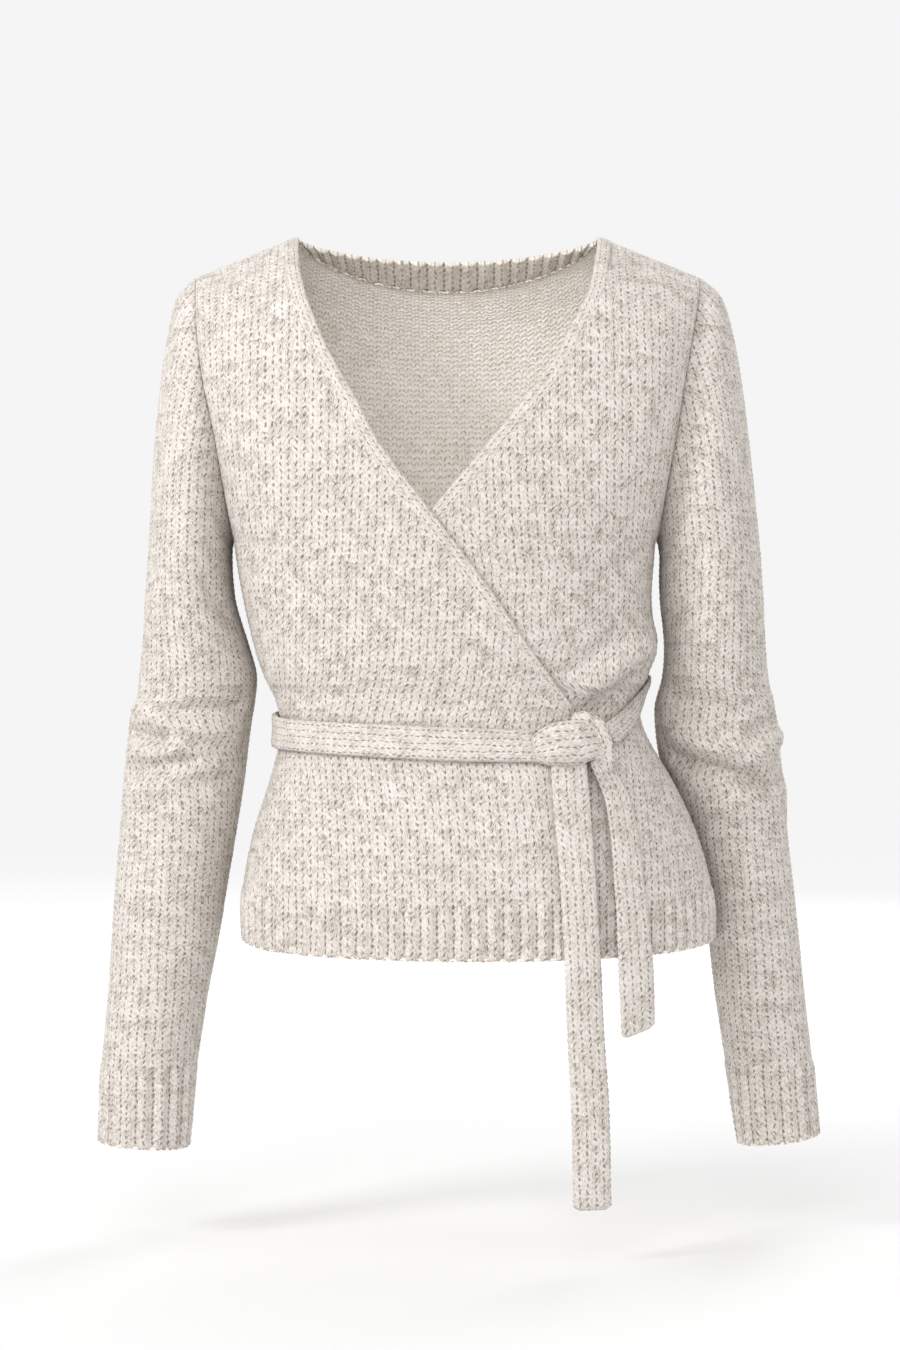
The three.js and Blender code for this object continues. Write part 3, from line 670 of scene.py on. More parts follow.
# %% Sleeve rings
RIGHT_SLEEVE = table(
    "out_x out_z in_x in_z depth back",
    (-200, -45, -158.5, -225, 56, 0), (-207, -75, -159.5, -228, 58, 0),
    (-212, -110, -160, -231, 60, 0), (-216, -150, -160, -236, 60, 0),
    (-219, -195, -160, -243, 59, 1), (-221.5, -235, -159.5, -254, 57, 3),
    (-224, -270, -157, -272, 55, 5), (-226, -300, -148.5, -300, 52, 7),
    (-228.5, -322, -142.5, -322, 49, 9), (-231, -342, -143.5, -342, 47, 11),
    (-236.5, -358, -146, -356, 47, 12), (-238.5, -381, -149, -378, 46, 14),
    (-241, -403, -152, -403, 45, 15), (-243.5, -438, -157.5, -438, 44, 15),
    (-247, -480, -164.5, -480, 42, 14), (-249.5, -517, -170.5, -517, 40, 13),
    (-252, -559, -178.5, -559, 38, 11), (-256, -605, -185.5, -605, 36, 8),
    (-256.8, -616, -187, -616, 34.5, 7), (-257.6, -642, -189.5, -643, 33.5, 6),
    (-258.3, -668, -192.4, -672, 33, 5))
LEFT_SLEEVE = table(
    "out_x out_z in_x in_z depth back",
    (202, -45, 155, -225, 56, 0), (211, -75, 156, -228, 58, 0),
    (217, -110, 156.5, -231, 60, 0), (222, -150, 157, -236, 60, 0),
    (227, -195, 157, -243, 59, 2), (231, -235, 157, -254, 57, 4),
    (233.5, -270, 158, -272, 55, 7), (235.5, -303, 161, -300, 52, 11),
    (238.5, -328, 160, -324, 49, 17), (244, -347, 155, -345, 47, 23),
    (247, -364, 155.5, -364, 46, 28), (249, -386, 159, -386, 46, 34),
    (254, -408, 166.5, -408, 45, 41), (255.5, -440, 178, -440, 44, 50),
    (260, -480, 190, -480, 42, 52), (264, -520, 196.5, -520, 40, 48),
    (267, -560, 200.5, -560, 38, 38), (271.5, -605, 207, -605, 36, 31),
    (273, -618, 209, -618, 34.5, 29), (274.8, -642, 212.8, -645, 33.5, 26),
    (276.5, -665, 216.5, -672, 33, 23))
LEVEL_RING = 8
CUFF_RING = 18.4
SLEEVE_WALE = 6.4
SLEEVE_COURSE = 4.15


def ring_value(rings, name, r, first):
    ys = np.concatenate([[first], rings[name]])
    slope = np.gradient(ys)
    k = np.clip(np.floor(r).astype(int), 0, len(ys) - 2)
    t = r - k
    return ((2 * t**3 - 3 * t**2 + 1) * ys[k] + (3 * t**2 - 2 * t**3) * ys[k + 1]
            + (t**3 - 2 * t**2 + t) * slope[k] + (t**3 - t**2) * slope[k + 1])


def armhole_x(side, z):
    return column(BODY, "mid", z) + side * (column(BODY, "half", z) + 0.4)


def sleeve_point(side, rings, r, theta):
    """A point of the sleeve: theta 0 is the outside of the arm, 90 the front."""
    top_z, low_z = -SHOULDER_DROP, ARMPIT_Z
    first = {"out_x": float(armhole_x(side, top_z)), "out_z": top_z,
             "in_x": float(armhole_x(side, low_z)), "in_z": low_z,
             "depth": ARMHOLE_HALF_DEPTH, "back": 0.0}
    v = {name: ring_value(rings, name, r, first[name]) for name in first}
    c = np.cos(np.radians(theta))
    s = np.sin(np.radians(theta))
    x = (v["out_x"] + v["in_x"]) / 2 + (v["out_x"] - v["in_x"]) / 2 * c
    z = (v["out_z"] + v["in_z"]) / 2 + (v["out_z"] - v["in_z"]) / 2 * c
    z0 = (top_z + low_z) / 2 + (top_z - low_z) / 2 * c
    x0 = (first["out_x"] + first["in_x"]) / 2 + (first["out_x"] - first["in_x"]) / 2 * c
    x = x + (armhole_x(side, z0) - x0) * np.clip(1 - r, 0, 1)
    return np.stack([x, v["back"] - v["depth"] * s, z], -1)


def sleeve_grid(side, rings, across=161):
    last = len(rings["depth"])
    fine = np.linspace(0.03, last, 700)
    line = sleeve_point(side, rings, fine, 0 * fine)
    s = lengths(line)
    count = int(round(s[-1] / SLEEVE_COURSE)) * 3
    r0 = np.interp(np.linspace(0, s[-1], count + 1), s, fine)
    level = sleeve_point(side, rings, r0, 0 * r0)[:, 2]
    middle = (ARMPIT_Z - SHOULDER_DROP) / 2
    reach = (-SHOULDER_DROP - ARMPIT_Z) / 2
    widest = np.degrees(np.arccos(np.clip((level - middle) / reach, -1, 1)))
    widest = np.minimum(widest, 179.7)
    theta = widest[:, None] * np.linspace(-1, 1, across)
    low = np.zeros_like(theta)
    high = np.full_like(theta, float(LEVEL_RING))
    for _ in range(26):
        mid = (low + high) / 2
        above = sleeve_point(side, rings, mid, theta)[..., 2] > level[:, None]
        low = np.where(above, mid, low)
        high = np.where(above, high, mid)
    r = np.where(r0[:, None] < LEVEL_RING, (low + high) / 2, r0[:, None])
    return sleeve_point(side, rings, r, theta), theta, r0


SLEEVE_FOLDS = {
    -1: [(8, -364, 74, -372, 5.5, -6.0), (66, -350, 150, -346, 5.5, -6.0), (20, -348, 76, -356, 7, 4.5),
         (30, -396, 104, -386, 5.5, -5.0), (84, -362, 150, -366, 7, 4.0), (20, -382, 90, -378, 6, 4.0),
         (20, -412, 80, -406, 7, 3.0), (96, -402, 150, -398, 6, -3.2), (-60, -362, -20, -372, 7, -3.5),
         (-130, -352, -70, -360, 7, -3.5), (-100, -384, -30, -392, 8, -3.0), (20, -240, 60, -262, 9, -2.0),
         (110, -250, 150, -285, 9, -2.4), (30, -560, 70, -548, 9, -1.6), (60, -505, 110, -515, 9, -1.6),
         (30, -450, 80, -462, 10, -1.4)],
    1: [(40, -408, 150, -384, 6.5, -8.0), (44, -390, 140, -366, 8, 6.0), (6, -352, 64, -366, 5.5, -5.5),
        (6, -368, 62, -382, 6.5, 4.0), (4, -398, 46, -408, 5.5, -4.0), (66, -352, 150, -336, 6.5, -4.0),
        (-60, -362, -20, -374, 7, -4.0), (-130, -356, -70, -372, 7, -4.0), (-110, -392, -30, -400, 8, -3.2),
        (20, -240, 60, -262, 9, -2.0), (110, -250, 150, -285, 9, -2.4), (30, -500, 80, -512, 9, -1.6),
        (20, -580, 70, -570, 9, -1.4), (50, -430, 130, -420, 8, 2.4)]}


def sleeve(name, side, rings, node_name):
    grid, theta, r0 = sleeve_grid(side, rings)
    normal = normals(grid, np.stack([side * np.cos(np.radians(theta)), -np.sin(np.radians(theta)),
                                     0 * theta], -1))
    fold = strokes(theta, grid[..., 2], SLEEVE_FOLDS[side])
    grid = grid + normal * fold[..., None]
    normal = normals(grid, normal)
    rib = smooth((r0 - CUFF_RING) / 0.25)
    piece = knit_sheet(name, grid, normal, SLEEVE_WALE, total_length(grid) / 2, rib)
    dress(piece, [node_name], KNIT, PURL_PAINTED_LIGHT)
    return piece, grid_area(grid), grid


RIGHT_ARM, RIGHT_AREA, RIGHT_GRID = sleeve("sleeve_right", -1, RIGHT_SLEEVE, "right_sleeve")
LEFT_ARM, LEFT_AREA, LEFT_GRID = sleeve("sleeve_left", 1, LEFT_SLEEVE, "left_sleeve")

# %% [markdown]
# ## Back neck band
#
# A ribbed strip is linked to the back neck and stands up from it. From the front its inside
# shows, so here the knitted relief goes on that side and the wall grows away from it.


# %% Neck band
def neck_band():
    end = NECK_HALF - 1.2
    x = np.linspace(-end, end, 181)
    seam_z, top_z = neck_dip(x, 31.0), neck_dip(x, 13.0)
    seam = torso(1, angle_at(x, seam_z), seam_z)
    top = torso(1, angle_at(x, top_z), top_z)
    up = top - seam
    up[:, 0] = 0
    reach = np.maximum(4.0, np.linalg.norm(up, axis=1))
    up /= np.linalg.norm(up, axis=1, keepdims=True)
    out = np.stack([0 * x, up[:, 2], -up[:, 1]], -1)
    t = np.linspace(1, 0, 16)[:, None, None]
    grid = (seam + up * 0.5)[None] + up[None] * reach[None, :, None] * t - out[None] * WALL
    return grid, np.broadcast_to(-out[None], grid.shape).copy()


NECK_GRID, NECK_N = neck_band()
NECK_BAND = knit_sheet("neck_band", NECK_GRID, normals(NECK_GRID, NECK_N), 6.3,
                       total_length(NECK_GRID) / 2, np.ones(len(NECK_GRID)))
dress(NECK_BAND, ["back_neck_band"], RIB_KNIT, KNIT)

# %% [markdown]
# ## Front edges
#
# Along the slanting edges the last stitches turn and run with the edge, as a narrow band
# folded over it. That keeps the edge from rolling up. A small knitted tube does the same
# here: its wales run along the edge and it holds the cloth between its two sides. The belt
# is made with the same tube further on.


# %% Knitted tube
def knit_tube(name, grid, normal, wales, relief=0.55):
    """A solid strip: rows are closed loops round it, the ends are rounded and capped."""
    shell = Shell()
    count = 4 * wales
    rings = []
    for r in range(len(grid)):
        p = np.concatenate([grid[r], grid[r][:1]])
        n = np.concatenate([normal[r], normal[r][:1]])
        s = lengths(p)
        i = np.arange(count)
        side, up = stitch_offset(i, r)
        where = np.mod((i / 4 + side) * s[-1] / wales, s[-1])
        q, m = resample(p, n, s, where)
        end = min(r, len(grid) - 1 - r)
        q = q + m * (relief * up * min(1.0, end / 2))[:, None]
        if end < 2:
            q = q.mean(axis=0) + (q - q.mean(axis=0)) * (0.72, 0.92)[end]
        uv = np.stack([i / 4 + side, np.full(count, r / 3)], -1)
        rings.append(shell.row(q, uv, np.clip(0.5 + 0.35 * up, 0, 1)))
    for a, b in zip(rings, rings[1:]):
        a2, b2 = np.roll(a, -1), np.roll(b, -1)
        shell.add(np.stack([a, b, b2], -1), False)
        shell.add(np.stack([a, b2, a2], -1), False)
    for ring, turned in ((rings[0], False), (rings[-1], True)):
        middle = shell.row(np.concatenate(shell.points)[ring].mean(axis=0)[None],
                           np.zeros((1, 2)), np.array([0.5]))
        tris = np.stack([np.full(count, middle[0]), ring, np.roll(ring, -1)], -1)
        shell.add(tris, False, turned)
    return finish_shell(name, shell, wales)


def section(count=40, sharp=0.55):
    w = np.linspace(0, 2 * math.pi, count, endpoint=False) - math.pi / 2
    return (np.sign(np.cos(w)) * np.abs(np.cos(w)) ** sharp, np.sign(np.sin(w)) * np.abs(np.sin(w)) ** sharp)


def loop_normals(grid):
    around = np.roll(grid, -1, axis=1) - np.roll(grid, 1, axis=1)
    along = np.gradient(grid, axis=0)
    n = np.cross(around, along)
    n /= np.maximum(np.linalg.norm(n, axis=2, keepdims=True), 1e-9)
    out = grid - grid.mean(axis=1, keepdims=True)
    flip = np.sign(np.sum(np.sum(n * out, axis=2)))
    return n * flip


# %% Edge bands
BAND_WIDTH = 10.0
BAND_LIFT = 0.55


def edge_band(name, grid, normal, column_at, low_z):
    """A narrow band round one edge of a panel, from the shoulder down to low_z."""
    inside = -2 if column_at < 0 else 1
    line, n = grid[:, column_at], normal[:, column_at]
    keep = line[:, 2] > low_z
    line, n = line[keep], n[keep]
    away = (grid[:, column_at] - grid[:, inside])[keep]
    s = lengths(line)
    count = int(round(s[-1] / COURSE)) * 3
    at = np.linspace(0.4, s[-1], count + 1)
    kernel = np.ones(9) / 9

    def even(v):
        v = np.stack([np.interp(at, s, v[:, k]) for k in range(3)], -1)
        return np.stack([np.convolve(np.pad(v[:, k], 4, mode="edge"), kernel, "valid") for k in range(3)], -1)
    line = np.stack([np.interp(at, s, line[:, k]) for k in range(3)], -1)
    n, away = even(n), even(away)
    n /= np.linalg.norm(n, axis=1, keepdims=True)
    along = np.gradient(line, axis=0)
    along /= np.linalg.norm(along, axis=1, keepdims=True)
    away -= along * np.sum(away * along, axis=1, keepdims=True)
    away -= n * np.sum(away * n, axis=1, keepdims=True)
    away /= np.linalg.norm(away, axis=1, keepdims=True)
    c, t = section(32, 0.7)
    middle = line - away * (BAND_WIDTH / 2 - 0.6) - n * (WALL / 2)
    tube = (middle[:, None] + away[:, None] * (BAND_WIDTH / 2 * c)[None, :, None]
            + n[:, None] * ((WALL / 2 + BAND_LIFT) * t)[None, :, None])
    piece = knit_tube(name, tube, loop_normals(tube), 6, 0.4)
    dress(piece, [], BELT_KNIT)
    return piece, s[-1]


OVER_BAND, OVER_BAND_LENGTH = edge_band("over_front_edge", OVER_GRID, OVER_N, -1, -352)
UNDER_BAND, UNDER_BAND_LENGTH = edge_band("under_front_edge", UNDER_GRID, UNDER_N, 0, -236)

# %% [markdown]
# ## Sewn and looped edges
#
# Pieces are sewn together with a row of small loops, and the free ribbed edges end in the
# loops of the cast-on. One loop after the other along a line is work for Geometry Nodes:
# the line is a row of points with two directions each, and a small smooth bead is set on
# every point, turned to the line and leaned to and fro. The result is made a plain mesh.

# %% Loop nodes
def loop_tree():
    tree = bpy.data.node_groups.new("sewn_loops", "GeometryNodeTree")
    sockets = {"Geometry": "NodeSocketGeometry", "Loop length": "NodeSocketFloat",
               "Loop thickness": "NodeSocketFloat", "Lean": "NodeSocketFloat", "Seed": "NodeSocketInt",
               "Material": "NodeSocketMaterial"}
    for name, kind in sockets.items():
        tree.interface.new_socket(name, in_out="INPUT", socket_type=kind)
    tree.interface.new_socket("Geometry", in_out="OUTPUT", socket_type="NodeSocketGeometry")
    given = node(tree, "NodeGroupInput").outputs
    along = node(tree, "GeometryNodeInputNamedAttribute", data_type="FLOAT_VECTOR", in_0="along")
    out = node(tree, "GeometryNodeInputNamedAttribute", data_type="FLOAT_VECTOR", in_0="out")
    turn = node(tree, "FunctionNodeAxesToRotation", {0: along.outputs[0], 1: out.outputs[0]},
                primary_axis="X", secondary_axis="Z")
    index = node(tree, "GeometryNodeInputIndex")
    odd = node(tree, "ShaderNodeMath", {0: index.outputs[0]}, operation="MODULO")
    odd.inputs[1].default_value = 2
    swing = node(tree, "ShaderNodeMath", {0: odd.outputs[0]}, operation="MULTIPLY_ADD")
    swing.inputs[1].default_value = 2
    swing.inputs[2].default_value = -1
    angle = node(tree, "ShaderNodeMath", {0: swing.outputs[0], 1: given["Lean"]}, operation="MULTIPLY")
    leaned = node(tree, "FunctionNodeAxisAngleToRotation", {1: angle.outputs[0]}, in_0=(0, 0, 1))
    turned = node(tree, "FunctionNodeRotateRotation", {0: turn.outputs[0], 1: leaned.outputs[0]},
                  rotation_space="LOCAL")
    size = node(tree, "ShaderNodeCombineXYZ", {0: given["Loop length"], 1: given["Loop thickness"],
                                               2: given["Loop thickness"]})
    uneven = node(tree, "FunctionNodeRandomValue", {"Seed": given["Seed"]}, data_type="FLOAT")
    uneven.inputs[2].default_value, uneven.inputs[3].default_value = 0.85, 1.15
    scale = node(tree, "ShaderNodeVectorMath", {0: size.outputs[0], "Scale": uneven.outputs[1]},
                 operation="SCALE")
    bead = node(tree, "GeometryNodeMeshIcoSphere", in_Radius=0.5, in_Subdivisions=2)
    placed = node(tree, "GeometryNodeInstanceOnPoints",
                  {"Points": given["Geometry"], "Instance": bead.outputs[0],
                   "Rotation": turned.outputs[0], "Scale": scale.outputs[0]})
    real = node(tree, "GeometryNodeRealizeInstances", {0: placed.outputs[0]})
    painted = node(tree, "GeometryNodeSetMaterial", {"Geometry": real.outputs[0],
                                                     "Material": given["Material"]})
    node(tree, "NodeGroupOutput", {0: painted.outputs[0]})
    return tree


def seam_yarn(name, light, fleck):
    """The same marled yarn as single loops, too small to show its plies."""
    material = bpy.data.materials.new(name)
    material.use_nodes = True
    tree = material.node_tree
    place = node(tree, "ShaderNodeTexCoord")
    grain = node(tree, "ShaderNodeTexNoise", {"Vector": place.outputs["Object"]}, in_Scale=420.0,
                 in_Detail=2.0)
    much = node(tree, "ShaderNodeMapRange", {"Value": grain.outputs["Fac"]}, in_1=0.45, in_2=0.68,
                interpolation_type="SMOOTHSTEP")
    yarn = node(tree, "ShaderNodeMix", {"Factor": much.outputs[0]}, data_type="RGBA")
    yarn.inputs[6].default_value = linear(light)
    yarn.inputs[7].default_value = linear(fleck)
    shader = tree.nodes["Principled BSDF"]
    tree.links.new(yarn.outputs[2], shader.inputs["Base Color"])
    shader.inputs["Roughness"].default_value = 0.92
    shader.inputs["IOR"].default_value = 1.5
    return material


LOOPS = loop_tree()
SEAM_YARN = seam_yarn("marled_seam_yarn", "#EFE7DE", "#A8957F")


def sewn(name, line, out, pitch=3.2, long=4.4, thick=1.7, lean=0.5):
    """Loops along a line of points; out points away from the cloth."""
    s = lengths(line)
    at = np.linspace(0, s[-1], int(round(s[-1] / pitch)) + 1)
    points = np.stack([np.interp(at, s, line[:, k]) for k in range(3)], -1)
    away = np.stack([np.interp(at, s, out[:, k]) for k in range(3)], -1)
    ahead = np.gradient(points, axis=0)
    mesh = bpy.data.meshes.new(name + "_line")
    mesh.from_pydata([tuple(p) for p in points * MM], [], [])
    for key, rows in (("along", ahead), ("out", away)):
        rows = rows / np.linalg.norm(rows, axis=1, keepdims=True)
        data = mesh.attributes.new(key, "FLOAT_VECTOR", "POINT")
        data.data.foreach_set("vector", rows.astype(np.float32).ravel())
    source = bpy.data.objects.new(name + "_line", mesh)
    bpy.context.scene.collection.objects.link(source)
    loops = source.modifiers.new("loops", "NODES")
    loops.node_group = LOOPS
    wanted = {"Loop length": long * MM, "Loop thickness": thick * MM, "Lean": lean, "Seed": 3,
              "Material": SEAM_YARN}
    for socket in LOOPS.interface.items_tree:
        if socket.in_out == "INPUT" and socket.name in wanted:
            loops[socket.identifier] = wanted[socket.name]
    ready = source.evaluated_get(bpy.context.evaluated_depsgraph_get())
    piece = bpy.data.objects.new(name, bpy.data.meshes.new_from_object(ready))
    piece.data.name = name
    bpy.context.scene.collection.objects.link(piece)
    bpy.data.objects.remove(source)
    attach(piece, "root")
    print(name, len(at), "loops", len(piece.data.polygons), "faces")
    return piece


# %% Loops at the edges and seams
for name, grid, normal, slot in (("over_front_hem", OVER_GRID, OVER_N, "knit_over"),
                                 ("under_front_hem", UNDER_GRID, UNDER_N, "knit_under"),
                                 ("back_hem", BACK_GRID, BACK_N, "knit_back")):
    sewn(name + "_loops", grid[-1, 2:-2] - normal[-1, 2:-2] * 1.2, normal[-1, 2:-2], 3.0, 3.9, 2.2, 0.35)
for name, grid in (("right_cuff", RIGHT_GRID), ("left_cuff", LEFT_GRID)):
    out = grid[-1] - grid[-1].mean(axis=0)
    sewn(name + "_loops", grid[-1] - normals(grid, grid - grid.mean(axis=1, keepdims=True))[-1] * 1.2, out,
         3.0, 3.9, 2.2, 0.35)
sewn("neck_seam_loops", NECK_GRID[-1] + NECK_N[-1] * 0.6, NECK_N[-1], 3.4, 4.6, 1.9, 0.45)

# %% [markdown]
# ## Tie belt
#
# The belt is a narrow knitted strip. It lies round the waist over both fronts, rises at the
# wearer's left side where it is gathered into a roll, and meets its other end in the knot.
# A knitted tube covers each stretch: its rows follow the path and its wales run along it.


# %% Belt round the waist
BELT = table(
    "at z half thick gap", (0, -368, 8.5, 6, 1.4), (16.5, -354, 8, 5, 1.2), (33, -340, 7.5, 3.8, 0.8),
    (49, -331, 8, 3.4, 0.7), (75, -334, 11, 4.4, 1.1), (115, -348, 12.5, 5.2, 1.4), (165, -357, 12.5, 5.2, 1.4),
    (221, -363, 12.5, 5.2, 1.4), (237, -365, 12.5, 5.2, 1.4), (285, -370, 12.5, 5.2, 1.4),
    (315, -374, 12.5, 5.2, 1.4), (332, -376, 11.5, 5.2, 1.4))
BELT_WALE = 5.2
BELT_COURSE = 4.5


def cover_lift(angle, z):
    edge = angle_at(column(OVER_EDGE, "x", z), z)
    return over_lift(angle, z) * (1 - smooth((angle - edge - 3) / 14))


def surface_out(face, angle, z):
    """A point of the dressed torso and its outward direction."""
    def at(a, h):
        p = torso(face, a, h)
        return p
    a1, a0 = at(np.minimum(angle + 0.5, 90), z), at(np.maximum(angle - 0.5, -90), z)
    z1, z0 = at(angle, z + 0.8), at(angle, z - 0.8)
    n = np.cross(a1 - a0, z1 - z0)
    n /= np.linalg.norm(n, axis=-1, keepdims=True)
    n *= np.sign(n[..., 1:2] * face + 1e-9)
    return at(angle, z), n


def belt_grid():
    travel = np.linspace(0, 332, 1200)
    c, s = section()

    def rows(at):
        z = np.interp(at, BELT["at"], BELT["z"])
        half = np.interp(at, BELT["at"], BELT["half"])
        thick = np.interp(at, BELT["at"], BELT["thick"])
        gap = np.interp(at, BELT["at"], BELT["gap"])
        front = (at <= 44.5) | (at > 225)
        angle = np.where(front, np.where(at <= 44.5, at + 45.5, at - 315), 135 - at)
        grid = np.empty((len(at), len(c), 3))
        for face, pick in ((-1, front), (1, ~front)):
            h = z[pick, None] + half[pick, None] * c
            a = np.broadcast_to(angle[pick, None], h.shape)
            p, n = surface_out(face, a, h)
            lift = cover_lift(a, h) if face < 0 else 0 * h
            p = p + n * strokes(p[..., 0], p[..., 2], FRONT_FOLDS if face < 0 else BACK_FOLDS)[..., None]
            off = lift + gap[pick, None] + thick[pick, None] / 2 * (1 + s)
            grid[pick] = p + n * off[..., None]
        return grid
    line = rows(travel).mean(axis=1)
    length = lengths(line)
    count = int(round(length[-1] / BELT_COURSE)) * 3
    at = np.interp(np.linspace(0, length[-1], count + 1), length, travel)
    return rows(at), length[-1]


BELT_GRID, BELT_LENGTH = belt_grid()
BELT_BAND = knit_tube("tie_round_waist", BELT_GRID, loop_normals(BELT_GRID), 11)
dress(BELT_BAND, ["belt_band"], BELT_KNIT)


# %% Hanging ends
def front_y(x, z):
    zz = np.maximum(z, SIDE_HEM_Z - HEM_DIP)
    angle = angle_at(x, zz)
    return torso(-1, angle, zz)[..., 1] - cover_lift(angle, zz) - 0.8 * smooth((-460 - zz) / 20)


LONG_TAIL = table("z x half", (-372, 85, 11), (-386.8, 86, 13), (-468, 92, 13), (-521, 95, 13),
                  (-570, 97, 13), (-630, 100.5, 13.5), (-701, 102, 13.5))
SHORT_TAIL = table("z x half", (-384, 108, 7.5), (-415, 122, 9.5), (-478, 129.5, 11),
                   (-529, 133.5, 12.5), (-578, 135.5, 12))


def tail_grid(rows, slant, thick=4.6, lead=0.0):
    top, low = rows["z"][0], rows["z"][-1]
    z = np.linspace(top, low, int(round((top - low) / BELT_COURSE)) * 3 + 1)
    x, half = column(rows, "x", z), column(rows, "half", z)
    c, s = section()
    px = x[:, None] + half[:, None] * c
    pz = z[:, None] + slant * smooth((low + 30 - z) / 30)[:, None] * c + 0 * px
    y = np.minimum.accumulate(front_y(px, z[:, None] + 0 * px), axis=0) - TAIL_GAP
    sway = 1.4 * np.sin((z - top) / 46.0) * smooth((SIDE_HEM_Z - z) / 60)
    y = y - thick / 2 * (1 - s) - lead * (1 - smooth((top - z) / 26))[:, None] + sway[:, None] - 1.4
    cup = 1.1 * (c**2 - 0.5) * smooth((top - z) / 60)[:, None]
    return np.stack([px, y + cup, pz], -1), top - low


LONG_GRID, LONG_LENGTH = tail_grid(LONG_TAIL, 0, lead=3)
TAIL_LONG = knit_tube("tie_end_long", LONG_GRID, loop_normals(LONG_GRID), 10)
dress(TAIL_LONG, ["belt_tail_long"], BELT_KNIT)
SHORT_GRID, SHORT_LENGTH = tail_grid(SHORT_TAIL, 4, lead=4)
TAIL_SHORT = knit_tube("tie_end_short", SHORT_GRID, loop_normals(SHORT_GRID), 9)
dress(TAIL_SHORT, ["belt_tail_short"], BELT_KNIT)


# %% Knot
def sweep(points, halves, thicks, course=4.4):
    """A strip along given points: each is x, z and how far it stands off the cloth."""
    points = np.array(points, float)
    at = lengths(points)
    fine = np.linspace(0, at[-1], max(8, int(round(at[-1] / course)) * 3 + 1))
    spread = [np.interp(fine, at, points[:, k]) for k in range(3)]
    kernel = np.ones(5) / 5
    spread = [np.convolve(np.pad(v, 2, mode="edge"), kernel, "valid") for v in spread]
    x, z, off = spread
    path = np.stack([x, front_y(x, z) - off, z], -1)
    half = np.interp(fine, at, halves)
    thick = np.interp(fine, at, thicks)
    along = np.gradient(path, axis=0)
    along /= np.linalg.norm(along, axis=1, keepdims=True)
    out = np.array([0.0, -1.0, 0.0]) - along * (along @ np.array([0.0, -1.0, 0.0]))[:, None]
    out /= np.linalg.norm(out, axis=1, keepdims=True)
    across = np.cross(along, out)
    c, s = section(sharp=0.8)
    return (path[:, None] + across[:, None] * (half[:, None] * c)[..., None]
            + out[:, None] * (thick[:, None] * s)[..., None])


KNOT_PARTS = [
    sweep([(60, -377, 5), (68, -375, 9), (78, -372.5, 12), (92, -371.5, 12), (103, -370, 10),
           (111, -368, 6)], [8, 12.5, 15.5, 16, 13, 8], [3, 7, 9.5, 9.5, 7.5, 4]),
    sweep([(88, -357, 7), (97, -357.5, 14), (105, -363, 17), (109, -374, 15), (111, -386, 10),
           (113, -394, 7)], [6, 8.5, 9.5, 9, 8, 7], [3, 4.5, 5, 4.5, 3.5, 3])]
KNOT = [knit_tube("tie_knot" + suffix, grid, loop_normals(grid), wales)
        for suffix, grid, wales in zip(("_wrap", "_over"), KNOT_PARTS, (14, 8))]
for part in KNOT:
    dress(part, ["belt_knot"], BELT_KNIT)

# %% [markdown]
# ## Camera, floor and light
#
# The photograph is a front view at waist height. A long lens from two and a half metres
# keeps the sleeves parallel. Large soft lights give the flat, even light of a studio.

# %% Stage
CAMERA_DISTANCE = 2.52
FRAME_HEIGHT = 0.999
camera_data = bpy.data.cameras.new("camera")
camera = bpy.data.objects.new("camera", camera_data)
bpy.context.scene.collection.objects.link(camera)
camera.location = (0.0015, -CAMERA_DISTANCE, -0.3234)
camera.rotation_euler = (math.radians(90), 0, 0)
camera_data.sensor_fit = "VERTICAL"
camera_data.sensor_height = 36
camera_data.lens = 36 * CAMERA_DISTANCE / FRAME_HEIGHT
camera_data.clip_end = 50
bpy.context.scene.camera = camera


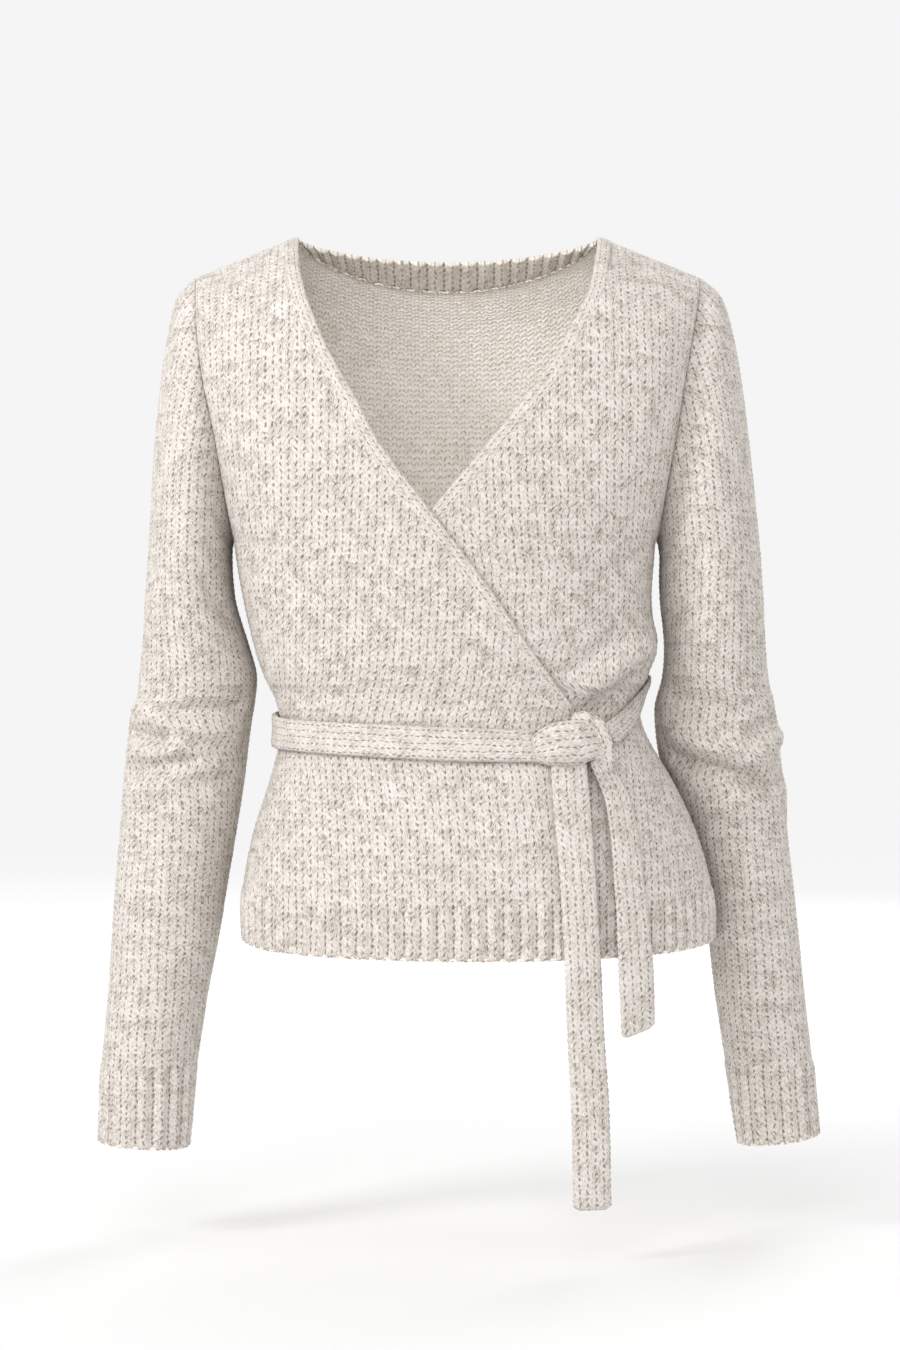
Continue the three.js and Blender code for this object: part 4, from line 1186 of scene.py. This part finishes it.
def area_light(name, place, aim, size, power, color=(1, 1, 1)):
    data = bpy.data.lights.new(name, "AREA")
    data.shape = "RECTANGLE"
    data.size, data.size_y = size
    data.energy = power
    data.color = color
    lamp = bpy.data.objects.new(name, data)
    bpy.context.scene.collection.objects.link(lamp)
    lamp.location = place
    way = np.array(aim) - np.array(place)
    from mathutils import Vector
    lamp.rotation_euler = Vector(way).to_track_quat("-Z", "Y").to_euler()
    return lamp


area_light("key", (-2.2, -1.9, 1.3), (0, 0, -0.3), (1.0, 1.0), 42)
area_light("front", (-0.5, -3.2, 0.9), (0, 0, -0.3), (1.6, 1.6), 32)
area_light("back", (1.2, 2.6, 1.3), (0, 0, -0.3), (1.6, 1.6), 34)
bpy.context.scene.view_settings.view_transform = "Standard"

world = bpy.data.worlds.new("studio")
bpy.context.scene.world = world
world.use_nodes = True
world.node_tree.nodes["Background"].inputs[0].default_value = linear("#F5F5F5")
world.node_tree.nodes["Background"].inputs[1].default_value = 1.0

floor_mesh = bpy.data.meshes.new("floor")
floor_mesh.from_pydata([(-6, -6, -0.74), (6, -6, -0.74), (6, 6, -0.74), (-6, 6, -0.74)], [], [(0, 1, 2, 3)])
floor = bpy.data.objects.new("floor", floor_mesh)
bpy.context.scene.collection.objects.link(floor)
paper = bpy.data.materials.new("pale_paper")
paper.use_nodes = True
# painted shade: the floor is greyer near the middle, where the lamps light it most, and whiter further out
place = node(paper.node_tree, "ShaderNodeTexCoord")
away = node(paper.node_tree, "ShaderNodeVectorMath", {0: place.outputs["Object"]}, operation="LENGTH")
fade = node(paper.node_tree, "ShaderNodeMapRange", {"Value": away.outputs["Value"]}, in_1=1.0, in_2=4.5,
            interpolation_type="SMOOTHSTEP")
floor_painted_shade = node(paper.node_tree, "ShaderNodeMix", {"Factor": fade.outputs[0]}, data_type="RGBA")
floor_painted_shade.inputs[6].default_value = linear("#E4E4E4")
floor_painted_shade.inputs[7].default_value = linear("#FDFDFD")
paper.node_tree.links.new(floor_painted_shade.outputs[2], paper.node_tree.nodes["Principled BSDF"].inputs["Base Color"])
paper.node_tree.nodes["Principled BSDF"].inputs["Roughness"].default_value = 0.9
floor_mesh.materials.append(paper)
